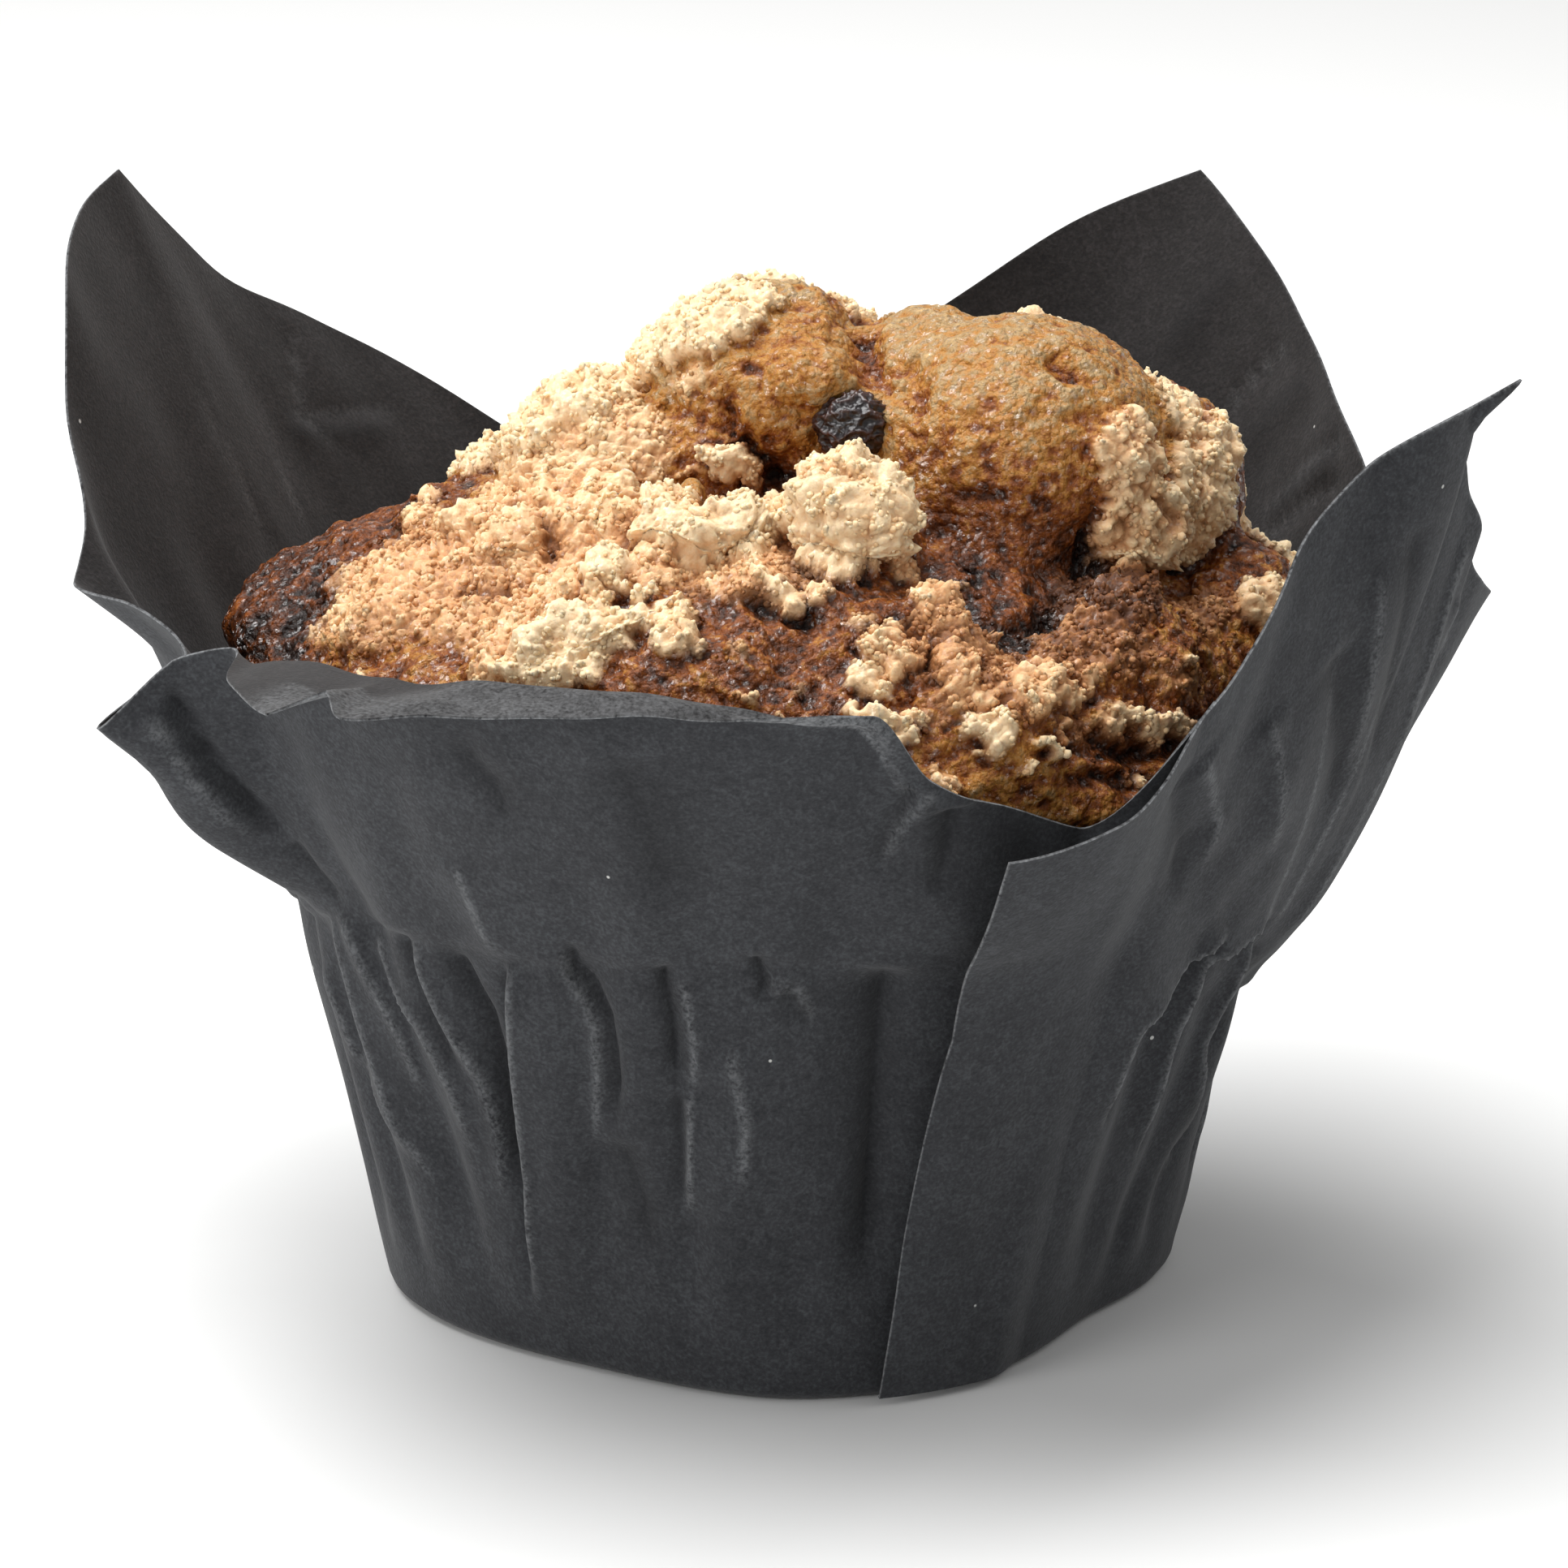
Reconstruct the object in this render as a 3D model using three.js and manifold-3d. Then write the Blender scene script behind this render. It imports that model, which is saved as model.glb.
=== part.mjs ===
// A large bakery muffin with crumble on top, in a dark tulip-shaped paper case.
//
// Units are millimetres and +Z is up. The origin is the middle of the case's flat bottom. The front, with
// the folded-down petal, faces -Y. Azimuths are in degrees from +X towards +Y.
//
// The case is one square sheet pressed into a cup: a flat floor, a wall with pleats, a crease where the
// wall ends, and four petals, which are the corners of the sheet. It is lofted through four rings, the
// foot, the crease, the bend and the cut edge, and closed on itself by one real overlap of the paper.
//
// The muffin is a body that fills the cup and swells over it, joined with the lobes that it burst into
// while baking, with clumps of crumble and with loose grains of it. One raisin sits in a pocket.

import * as THREE from "three";
import { mergeVertices } from "three/addons/utils/BufferGeometryUtils.js";
import Module from "manifold-3d";

// Driving dimensions
const PAPER_THICKNESS = 0.5; // as modelled, the real paper is thinner
const FOOT_RADIUS = 30; // middle of the bottom to its outline, on average
const CREASE_RADIUS = 38; // half the width of the cup where the wall ends
const DOME_RADIUS = 43.5; // half the width of the muffin
const DOME_HEIGHT = 21; // of its body above the widest place, without the lobes
const DOME_CENTRE_HEIGHT = 46;
const CLEARANCE = 0.45; // gap between the baked muffin and the paper
const RAISIN_GAP = 0.35;

const radians = THREE.MathUtils.degToRad;
const clamp = THREE.MathUtils.clamp;
const mix = THREE.MathUtils.lerp;
const smooth = THREE.MathUtils.smoothstep;

// The paper case

// The sheet goes once round from the hidden end of the overlap to its other side, and the right petal
// carries on past it as a flap over the front petal, up to a visible fold.
const FLAP_FOLD = 290; // azimuth of the flap's free edge at the crease
const FLAP_END = 313; // where the flap has merged with the sheet
const SHEET_START = 309;
const SHEET_END = SHEET_START + 360;
const CLOSING_WIDTH = 6; // degrees before the end in which the sheet comes back to its start
const FLAP_THICKNESS = 0.4;
const FLAP_LIFT = 1.25; // between the middle of the flap and that of the sheet

// Outline of the bottom, a square with very round corners: azimuth, radius.
const FOOT = [
  [290, FOOT_RADIUS + 1.2],
  [302, FOOT_RADIUS + 0.8],
  [331, FOOT_RADIUS - 2],
  [352, FOOT_RADIUS + 0.6],
  [365, FOOT_RADIUS + 2],
  [385, FOOT_RADIUS + 0.5],
  [420, FOOT_RADIUS - 1.8],
  [455, FOOT_RADIUS + 0.8],
  [500, FOOT_RADIUS - 1.8],
  [548, FOOT_RADIUS + 0.6],
  [598, FOOT_RADIUS - 2.4],
  [641, FOOT_RADIUS + 0.7],
  [669, FOOT_RADIUS + 0.7],
];

// Cut edge of the sheet: azimuth, radius, height. Its four high places are the corners of the square.
const CUT_EDGE = [
  [290, 49.7, 47.8],
  [300, 50.4, 50.2],
  [308, 48.9, 54.8],
  [318, 48.1, 61.1],
  [325, 47.6, 66.7],
  [335, 50, 72.2],
  [342, 54.7, 75.1],
  [345.5, 57.6, 77], // right petal's tip
  [350, 53.8, 70.2],
  [360, 55.8, 61.1],
  [368, 57.3, 54.5],
  [374, 55, 51],
  [379, 50.8, 54],
  [384, 52, 60.5],
  [391, 54, 63.4],
  [400, 57.7, 67.3],
  [408, 60.8, 72.3],
  [416, 63.5, 77.6], // back petal's tip
  [424, 59, 73.4],
  [432, 53, 67.9],
  [440, 50.5, 62.8],
  [450, 48, 56.5],
  [462, 46.8, 51.5], // valley at the back
  [472, 50, 55],
  [482, 56.5, 61.6],
  [490, 59, 66.4],
  [500, 60.2, 72.3],
  [510, 61, 82.9], // left petal's tip
  [517, 60, 81.4],
  [525, 58.1, 77.9],
  [532, 56, 69.2],
  [540, 53.8, 61.4],
  [545, 54.6, 58.3],
  [551, 51, 58.2],
  [560, 47.9, 56.1],
  [564.5, 56.4, 52.2], // pinched dart
  [568, 51, 58],
  [572, 47.9, 59.3],
  [582, 54.5, 60.2],
  [592, 60, 60.6], // front petal's tip, folded down outwards
  [603, 55.5, 61],
  [613, 52.2, 61.3],
  [625, 49.8, 61],
  [639, 47.2, 60.4],
  [645, 45.2, 54.5],
  [653, 43.4, 51.2],
  [669, 42, 47.3],
];

// Where a petal turns: azimuth, radius, height, and how softly it turns (0 is sharp).
const BEND = [
  [290, 45, 42, 0.5],
  [318, 45, 46, 0.8],
  [340, 47.5, 46, 0.9],
  [355, 49.2, 38.5, 0.9],
  [374, 45.5, 38, 0.6],
  [392, 46.5, 44, 0.8],
  [416, 51.5, 54, 0.9],
  [440, 46.5, 47, 0.8],
  [462, 42.6, 43, 0.6],
  [485, 47.5, 50, 0.8],
  [510, 50.5, 58, 0.9],
  [535, 48.5, 49.5, 0.8],
  [555, 44.5, 46, 0.5],
  [561.5, 49.2, 44.6, 0.4],
  [567.5, 43.8, 47, 0.3],
  [573, 46.8, 57, 0.12],
  [590, 47.4, 61, 0.1],
  [613, 48, 62.1, 0.1],
  [637, 46.4, 59.4, 0.12],
  [648, 42.2, 46, 0.5],
  [669, 40.2, 42, 0.6],
];

// Crease between the wall and the petals: azimuth, radius, height.
const CREASE = [
  [290, CREASE_RADIUS + 0.6, 35.5],
  [325, CREASE_RADIUS, 31.5],
  [345, CREASE_RADIUS - 0.6, 25.5],
  [365, CREASE_RADIUS - 0.8, 25],
  [395, CREASE_RADIUS, 30],
  [450, CREASE_RADIUS, 35],
  [510, CREASE_RADIUS, 35],
  [550, CREASE_RADIUS, 32.8],
  [568, CREASE_RADIUS, 35.6],
  [598, CREASE_RADIUS, 36.6],
  [630, CREASE_RADIUS, 38.2],
  [669, CREASE_RADIUS - 1.4, 35.5],
];

// Grooves between the pleats of the wall: azimuth at the foot and at the crease, depth, half width in degrees.
const GROOVES = [
  [300, 306, 0.7, 5],
  [322, 325, 1.1, 4],
  [334, 338, 1.2, 4],
  [345, 350, 1.3, 3.5],
  [357, 361, 1.2, 3.5],
  [373, 373, 1.4, 4],
  [392, 392, 1, 5],
  [411, 410, 0.9, 5],
  [432, 430, 1, 5],
  [452, 452, 1.2, 4],
  [465, 465, 1.3, 4],
  [486, 486, 0.9, 5],
  [508, 506, 1, 5],
  [526, 524, 1.1, 4],
  [541, 539, 1.1, 4],
  [556, 552, 0.8, 3],
  [568, 560, 0.9, 3],
  [583, 574, 1.4, 4],
  [604, 608, 1, 4],
  [618, 621, 0.9, 4],
  [636, 638, 0.8, 5],
];

// Reads column `part` of a ring at an azimuth, by a cubic that doesn't overshoot its points.
function ringAt(ring, azimuth, part) {
  let i = 0;
  while (i < ring.length - 2 && azimuth > ring[i + 1][0]) i += 1;
  const slope = (a, b) => (ring[b][part] - ring[a][part]) / (ring[b][0] - ring[a][0]);
  const tangent = (k) => {
    if (k === 0 || k === ring.length - 1) return 0;
    const before = slope(k - 1, k);
    const after = slope(k, k + 1);
    return before * after <= 0 ? 0 : (2 * before * after) / (before + after);
  };
  const span = ring[i + 1][0] - ring[i][0];
  const s = clamp((azimuth - ring[i][0]) / span, 0, 1);
  const h = s * s * (3 - 2 * s);
  return (
    ring[i][part] * (1 - h) +
    ring[i + 1][part] * h +
    s * (1 - s) * (1 - s) * span * tangent(i) -
    s * s * (1 - s) * span * tangent(i + 1)
  );
}

// 0 before a bend, a ramp after it, and rounded over a width on both sides of it.
function ramp(x, width) {
  if (x <= -width) return 0;
  return x >= width ? x : (x + width) ** 2 / (4 * width);
}

function grooveDepth(azimuth, rise) {
  const fade = smooth(rise, 0.04, 0.4) * (1 - smooth(rise, 1.05, 1.6));
  let depth = 0;
  for (const [low, high, deep, half] of GROOVES) {
    const off = (azimuth - mix(low, high, clamp(rise, 0, 1.2))) / half;
    depth += deep * Math.exp(-off * off);
  }
  return depth * fade;
}

// Radius and height of the paper. Rise runs from -1, the middle of the floor, by 0, the foot, 1, the
// crease, and 2, the bend, to 3, the cut edge.
const FOOT_ROUND = 0.03;
const CREASE_ROUND = 0.16;

function paperProfile(azimuth, rise) {
  const corner = PAPER_THICKNESS / 2;
  const foot = [ringAt(FOOT, azimuth, 1), corner];
  const crease = [ringAt(CREASE, azimuth, 1), ringAt(CREASE, azimuth, 2)];
  const bend = [ringAt(BEND, azimuth, 1), ringAt(BEND, azimuth, 2)];
  const edge = [ringAt(CUT_EDGE, azimuth, 1), ringAt(CUT_EDGE, azimuth, 2)];
  const softness = ringAt(BEND, azimuth, 3);
  const [radius, height] = [0, 1].map((k) => {
    const floor = foot[k] - [0, corner][k];
    const wall = crease[k] - foot[k];
    const low = bend[k] - crease[k];
    const high = edge[k] - bend[k];
    return (
      foot[k] +
      floor * rise +
      (wall - floor) * ramp(rise, FOOT_ROUND) +
      (low - wall) * ramp(rise - 1, CREASE_ROUND) +
      (high - low) * ramp(rise - 2, softness)
    );
  });
  return { radius: radius - grooveDepth(azimuth, rise), height };
}

function sheetProfile(azimuth, rise) {
  const end = paperProfile(azimuth, rise);
  const closing = smooth(azimuth, SHEET_END - CLOSING_WIDTH, SHEET_END);
  if (closing === 0) return end;
  const start = paperProfile(azimuth - 360, rise);
  return { radius: mix(end.radius, start.radius, closing), height: mix(end.height, start.height, closing) };
}

function flapProfile(azimuth, rise) {
  const { radius, height } = paperProfile(azimuth, rise);
  const lift = FLAP_LIFT * (1 - smooth(azimuth, SHEET_START - 4, FLAP_END - 1));
  return { radius: radius + lift, height };
}

// The fold leans: it is further round at the cut edge than at the foot.
const LEAN = 5.5;
const LEAN_REACH = 22; // degrees round the fold that lean with it

function leanOf(azimuth, rise) {
  const away = ((((azimuth - FLAP_FOLD + 180) % 360) + 360) % 360) - 180;
  return -LEAN * Math.exp(-((away / LEAN_REACH) ** 2)) * (1 - clamp(rise, 0, 1));
}

function paperPoint(azimuth, rise, profile) {
  const { radius, height } = profile(azimuth, rise);
  const a = radians(azimuth + leanOf(azimuth, rise));
  return new THREE.Vector3(radius * Math.cos(a), radius * Math.sin(a), height);
}

// Gives a sheet of triangles its thickness: both faces, and a wall along every open edge.
function thickened(middle, faces, thickness) {
  const sheet = new THREE.BufferGeometry().setFromPoints(middle).setIndex(faces.flat());
  sheet.computeVertexNormals();
  const normals = sheet.getAttribute("normal");
  const count = middle.length;
  const both = [1, -1].flatMap((side) =>
    middle.map((p, i) => {
      const n = new THREE.Vector3().fromBufferAttribute(normals, i);
      return p.clone().addScaledVector(n, (side * thickness) / 2);
    }),
  );
  const closed = [...faces, ...faces.map(([a, b, c]) => [a + count, c + count, b + count])];
  const edges = faces.flatMap(([a, b, c]) => [[a, b], [b, c], [c, a]]);
  const used = new Set(edges.map(([a, b]) => a * count + b));
  for (const [a, b] of edges) {
    if (!used.has(b * count + a)) closed.push([b, a, a + count], [b, a + count, b + count]);
  }
  return new THREE.BufferGeometry().setFromPoints(both).setIndex(closed.flat());
}

// Faces of a grid of rows and columns. A ring's last column joins its first.
function gridFaces(rows, columns, ring, first) {
  const at = (row, column) => first + row * columns + (column % columns);
  const faces = [];
  for (let r = 0; r < rows - 1; r += 1) {
    for (let c = 0; c < columns - (ring ? 0 : 1); c += 1) {
      faces.push([at(r, c), at(r, c + 1), at(r + 1, c + 1)], [at(r, c), at(r + 1, c + 1), at(r + 1, c)]);
    }
  }
  return faces;
}

// Azimuths of the columns between two places, with one at every point of the cut edge.
const COLUMN_STEP = 5.2;

function columnAzimuths(start, end) {
  const stops = [start, ...CUT_EDGE.map(([azimuth]) => azimuth).filter((u) => u > start && u < end), end];
  return stops.slice(1).flatMap((to, i) => {
    const from = stops[i];
    const count = Math.ceil((to - from) / COLUMN_STEP);
    return Array.from({ length: count }, (_, k) => mix(from, to, k / count));
  });
}

const SHEET_RISES = [-0.09, -0.03, 0.05, 0.35, 0.65, 0.93, 1.08, 1.35, 1.65, 1.9, 2.02, 2.16, 2.5, 3];
const FLAP_RISES = [0.03, 0.35, 0.65, 0.93, 1.08, 1.35, 1.65, 2, 2.5, 3];

function sheetGeometry() {
  const azimuths = columnAzimuths(SHEET_START, SHEET_END);
  const centre = new THREE.Vector3(0, 0, PAPER_THICKNESS / 2);
  const rows = SHEET_RISES.flatMap((rise) => azimuths.map((u) => paperPoint(u, rise, sheetProfile)));
  const floor = azimuths.map((_, c) => [0, 1 + ((c + 1) % azimuths.length), 1 + c]);
  const faces = [...floor, ...gridFaces(SHEET_RISES.length, azimuths.length, true, 1)];
  return thickened([centre, ...rows], faces, PAPER_THICKNESS);
}

function flapGeometry() {
  const azimuths = [...columnAzimuths(FLAP_FOLD, FLAP_END), FLAP_END];
  const rows = FLAP_RISES.flatMap((rise) => azimuths.map((u) => paperPoint(u, rise, flapProfile)));
  return thickened(rows, gridFaces(FLAP_RISES.length, azimuths.length, false, 0), FLAP_THICKNESS);
}

function paperGeometry() {
  return geometryOf(solidOf(sheetGeometry()).add(solidOf(flapGeometry())));
}

// The muffin

const HEART = new THREE.Vector3(0, 0, DOME_CENTRE_HEIGHT); // every point of the body can be seen from here
const SOLE_HEIGHT = PAPER_THICKNESS + 0.4;
const SOLE_RADIUS = FOOT_RADIUS - 4.6;
const PLEATS_HEIGHT = 38; // top of the pleats, where the crease is highest
const WALL_INSET = 1.2; // more room inside the pleats

// Lobes that the dome burst into, and the largest lumps of crumble: centre, half sizes, the depth and the
// size of their unevenness, and how finely each is divided.
const LOBES = [
  { centre: [-0.5, 4, 64.5], half: [11.8, 12.5, 15.3], uneven: 1.1, size: 4.5, detail: 5 }, // peak
  { centre: [5, 10, 58], half: [27, 24, 14.5], uneven: 1.3, size: 7, detail: 5 }, // swell behind both
  { centre: [19.3, -4, 67.4], half: [12.2, 11.6, 12], uneven: 0.8, size: 6, detail: 5 }, // smooth bulge
  { centre: [28, 2, 63.5], half: [9, 10, 9.5], uneven: 1, size: 2.6, detail: 4 }, // beside the bulge
  { centre: [7.5, -1, 61.5], half: [11, 9.5, 9.6], uneven: 0.4, size: 4, detail: 2 }, // saddle
  { centre: [-12, 1, 63.5], half: [9.5, 9.5, 9], uneven: 1, size: 2.6, detail: 4 }, // left of the peak
  { centre: [-5.5, -15.5, 65.2], half: [8, 4.8, 4.8], uneven: 1, size: 2.2, detail: 4 }, // ridge
  { centre: [6, -17, 65.6], half: [5.8, 5, 5.6], uneven: 1, size: 2.2, detail: 3 }, // knob
];

// Patches of crumble on the body: place in plan, half length, half width, turn in degrees, thickness.
const PATCHES = [
  [-13, -24, 8, 4.6, 25, 2.6],
  [-15.5, -10, 7, 5, 60, 2.4],
  [-24, -2, 8.5, 4.6, 120, 1.9],
  [-6, -31, 6.5, 3.8, 10, 1.9],
  [2, -24, 8, 3.6, 5, 1.8],
  [12, -27, 5.5, 4.4, 20, 2.2],
  [19, -32, 6, 3.8, 170, 2.2],
  [28, -18, 6.5, 5, 140, 2.4],
  [36, -11, 4, 4.6, 60, 1.8],
  [-30, -14, 5.5, 3.8, 100, 1.7],
  [-3, 19, 8, 5, 0, 2.2],
  [15, 20, 8, 6, 30, 2.2],
  [-20, 21, 8, 6, 130, 2.2],
  [1, 32, 8, 5, 10, 1.9],
  [-34, 8, 6, 4.2, 90, 1.7],
  [30, 20, 7, 5, 120, 2],
];

// Grains that broke off the crumble.
const GRAIN_COUNT = 40;
const GRAIN_REACH = 36;
const GRAIN_RADIUS = [0.9, 1.6];
const GRAIN_SEED = 41;

// Slow unevenness, the same at every run.
function lumps(p, size) {
  const [x, y, z] = [p.x / size, p.y / size, p.z / size];
  const first = Math.sin(x * 2.1 + 1.3 * Math.sin(y * 1.7 + z));
  const second = Math.sin(y * 2.3 + 1.1 * Math.sin(z * 1.9 + x));
  const third = Math.sin(z * 1.8 + 1.2 * Math.sin(x * 1.6 + y));
  return (first + second + third) / 3;
}

// Thickness of the crumble at a point of the body: steep-sided patches with a ragged outline.
function crumbleThickness(p) {
  let thickness = 0;
  for (const [x, y, length, width, turn, thick] of PATCHES) {
    const a = radians(turn);
    const along = ((p.x - x) * Math.cos(a) + (p.y - y) * Math.sin(a)) / length;
    const across = ((p.y - y) * Math.cos(a) - (p.x - x) * Math.sin(a)) / width;
    const off = Math.hypot(along, across) + 0.16 * lumps(p, 2.2);
    thickness = Math.max(thickness, thick * (1 - smooth(off, 0.7, 1.1)));
  }
  return thickness;
}

// The body's dome as a distance from the heart, with its lumps and its crumble.
const COARSE_LUMPS = { size: 9, deep: 0.8 };
const FINE_LUMPS = { size: 3.4, deep: 0.5 };

function domeReach(direction) {
  const flat = Math.hypot(direction.x, direction.y) / DOME_RADIUS;
  const bare = 1 / Math.hypot(flat, direction.z / DOME_HEIGHT);
  const p = direction.clone().multiplyScalar(bare).add(HEART);
  const uneven = [COARSE_LUMPS, FINE_LUMPS].reduce((sum, { size, deep }) => sum + deep * lumps(p, size), 0);
  return bare + uneven + (direction.z > 0.05 ? crumbleThickness(p) : 0);
}

// Largest radius that the paper leaves free at an azimuth and height, and a little to both sides.
const ROOM_REACH = 4.5;

function roomAt(azimuth, height) {
  const around = SHEET_START + ((((azimuth - SHEET_START) % 360) + 360) % 360);
  const radiusAt = (u) => {
    let before = sheetProfile(u, 0);
    for (let rise = 0.1; rise <= 3.0001; rise += 0.1) {
      const here = sheetProfile(u, rise);
      if (here.height >= height) {
        const share = clamp((height - before.height) / (here.height - before.height || 1), 0, 1);
        return mix(before.radius, here.radius, share);
      }
      before = here;
    }
    return Infinity;
  };
  const near = [-ROOM_REACH, 0, ROOM_REACH].map((turn) => around + turn);
  return Math.min(...near.map((u) => radiusAt(u < SHEET_START ? u + 360 : u > SHEET_END ? u - 360 : u)));
}

// Rings of the body from its sole up, as polar angles from straight down, in degrees.
const BODY_COLUMNS = 76;
const SOLE_ANGLE = THREE.MathUtils.radToDeg(Math.atan2(SOLE_RADIUS, DOME_CENTRE_HEIGHT - SOLE_HEIGHT));
const WALL_ROWS = 4;
const WALL_END_ANGLE = 76;
const DOME_ROWS = 23;

function bodyAngles() {
  const angles = [SOLE_ANGLE * 0.55];
  for (let k = 0; k < WALL_ROWS; k += 1) angles.push(mix(SOLE_ANGLE, WALL_END_ANGLE, k / WALL_ROWS));
  for (let k = 0; k < DOME_ROWS; k += 1) angles.push(mix(WALL_END_ANGLE, 176, k / (DOME_ROWS - 1)));
  return angles;
}

function bodyPoint(azimuth, angle) {
  const a = radians(azimuth);
  const polar = radians(angle);
  const flat = Math.sin(polar);
  const direction = new THREE.Vector3(flat * Math.cos(a), flat * Math.sin(a), -Math.cos(polar));
  if (angle <= SOLE_ANGLE + 1e-6) {
    return direction.multiplyScalar((DOME_CENTRE_HEIGHT - SOLE_HEIGHT) / Math.cos(polar)).add(HEART);
  }
  // Shorten the ray until it is clear of the paper.
  const step = 0.25;
  let reach = domeReach(direction);
  for (; reach > step; reach -= step) {
    const p = direction.clone().multiplyScalar(reach).add(HEART);
    const inset = p.z < PLEATS_HEIGHT ? WALL_INSET : 0;
    const room = roomAt(azimuth, p.z) - PAPER_THICKNESS / 2 - CLEARANCE - inset;
    if (p.z >= SOLE_HEIGHT && Math.hypot(p.x, p.y) <= room) break;
  }
  return direction.multiplyScalar(reach).add(HEART);
}

function bodyGeometry() {
  const angles = bodyAngles();
  const points = [new THREE.Vector3(0, 0, SOLE_HEIGHT)];
  for (const angle of angles) {
    for (let c = 0; c < BODY_COLUMNS; c += 1) points.push(bodyPoint((360 * c) / BODY_COLUMNS, angle));
  }
  const top = points.length;
  const last = top - BODY_COLUMNS;
  points.push(bodyPoint(0, 180));
  const faces = gridFaces(angles.length, BODY_COLUMNS, true, 1);
  for (let c = 0; c < BODY_COLUMNS; c += 1) {
    const next = (c + 1) % BODY_COLUMNS;
    faces.push([0, 1 + next, 1 + c], [top, last + c, last + next]);
  }
  return new THREE.BufferGeometry().setFromPoints(points).setIndex(faces.flat());
}

// A ball pressed to three half sizes, turned about Z, put in its place and made uneven.
function blob({ centre, half, turn = 0, detail, uneven, size }) {
  const shape = mergeVertices(bareCopy(new THREE.IcosahedronGeometry(1, detail)));
  shape.scale(...half).rotateZ(radians(turn)).translate(...centre);
  const middle = new THREE.Vector3(...centre);
  const position = shape.getAttribute("position");
  for (let i = 0; i < position.count; i += 1) {
    const p = new THREE.Vector3().fromBufferAttribute(position, i);
    const outwards = p.clone().sub(middle).normalize();
    p.addScaledVector(outwards, uneven * lumps(p, size));
    position.setXYZ(i, p.x, p.y, p.z);
  }
  return shape;
}

// Height of the bare muffin over a place in plan.
function topHeight(x, y) {
  const body = { centre: HEART.toArray(), half: [DOME_RADIUS, DOME_RADIUS, DOME_HEIGHT] };
  const tops = [body, ...LOBES].map(({ centre, half }) => {
    const rest = 1 - ((x - centre[0]) / half[0]) ** 2 - ((y - centre[1]) / half[1]) ** 2;
    return rest > 0 ? centre[2] + half[2] * Math.sqrt(rest) : 0;
  });
  return Math.max(...tops);
}

// Even random numbers from 0 to 1, the same at every run.
function seeded(seed) {
  let state = seed;
  return () => {
    state = (state * 16807) % 2147483647;
    return state / 2147483647;
  };
}

function crumbleGrains() {
  const random = seeded(GRAIN_SEED);
  const grains = [];
  while (grains.length < GRAIN_COUNT) {
    const [x, y] = [mix(-GRAIN_REACH, GRAIN_REACH, random()), mix(-GRAIN_REACH, GRAIN_REACH, random())];
    const radius = mix(...GRAIN_RADIUS, random());
    const turn = 360 * random();
    if (Math.hypot(x, y) > GRAIN_REACH || RAISIN_CENTRE.distanceTo({ x, y, z: RAISIN_CENTRE.z }) < 6) continue;
    const centre = [x, y, topHeight(x, y) + 0.2 * radius];
    const half = [radius, 0.8 * radius, 0.9 * radius];
    grains.push(blob({ centre, half, turn, detail: 0, uneven: 0.2, size: 1 }));
  }
  return grains;
}

// The raisin, a wrinkled ellipsoid half sunk between the peak and the bulge

const RAISIN_CENTRE = new THREE.Vector3(6.3, -7, 71.6);
const RAISIN_HALF = [3.2, 2.7, 2.8];
const RAISIN_DETAIL = 3;

function raisinGeometry(gap) {
  const shape = mergeVertices(bareCopy(new THREE.IcosahedronGeometry(1, RAISIN_DETAIL)));
  const position = shape.getAttribute("position");
  for (let i = 0; i < position.count; i += 1) {
    const d = new THREE.Vector3().fromBufferAttribute(position, i).normalize();
    const folds = Math.abs(Math.sin(5 * d.x + 3 * d.y + 4 * Math.sin(2 * d.z)));
    const wrinkle = gap > 0 ? 1 : 1 - 0.12 * folds;
    const p = new THREE.Vector3(...RAISIN_HALF).multiply(d).multiplyScalar(wrinkle).addScaledVector(d, gap);
    position.setXYZ(i, p.x, p.y, p.z);
  }
  return shape;
}

// Joining and cutting

const wasm = await Module();
wasm.setup();

function bareCopy(geometry) {
  const copy = geometry.clone();
  copy.deleteAttribute("normal");
  copy.deleteAttribute("uv");
  return copy;
}

function solidOf(geometry) {
  const merged = mergeVertices(bareCopy(geometry), 1e-4);
  const vertProperties = merged.getAttribute("position").array;
  const triVerts = new Uint32Array(merged.index.array);
  return new wasm.Manifold(new wasm.Mesh({ numProp: 3, vertProperties, triVerts }));
}

function geometryOf(solid) {
  const mesh = solid.getMesh();
  return new THREE.BufferGeometry()
    .setAttribute("position", new THREE.BufferAttribute(mesh.vertProperties, 3))
    .setIndex(new THREE.BufferAttribute(mesh.triVerts, 1));
}

// Body, lobes, clumps and grains as one solid, with the pocket that the raisin lies in.
function muffinGeometry() {
  const additions = [...LOBES.map(blob), ...crumbleGrains()];
  const whole = additions.reduce((sum, shape) => sum.add(solidOf(shape)), solidOf(bodyGeometry()));
  const pocket = raisinGeometry(RAISIN_GAP).translate(...RAISIN_CENTRE);
  const pieces = whole.subtract(solidOf(pocket)).decompose();
  return geometryOf(pieces.sort((a, b) => b.volume() - a.volume())[0]);
}

// The object

const paper = new THREE.MeshStandardMaterial({ color: 0x2f2f31, roughness: 0.85, metalness: 0 });
const crust = new THREE.MeshStandardMaterial({ color: 0xb5763c, roughness: 0.5, metalness: 0 });
const fruit = new THREE.MeshStandardMaterial({ color: 0x1d1213, roughness: 0.35, metalness: 0 });

function named(name, geometry, material) {
  geometry.computeVertexNormals();
  const mesh = new THREE.Mesh(geometry, material);
  mesh.name = name;
  return mesh;
}

const raisin = named("raisin", raisinGeometry(0), fruit);
raisin.position.copy(RAISIN_CENTRE);

const object = new THREE.Group();
object.add(named("paper_case", paperGeometry(), paper), named("muffin", muffinGeometry(), crust), raisin);

export default object;
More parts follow.
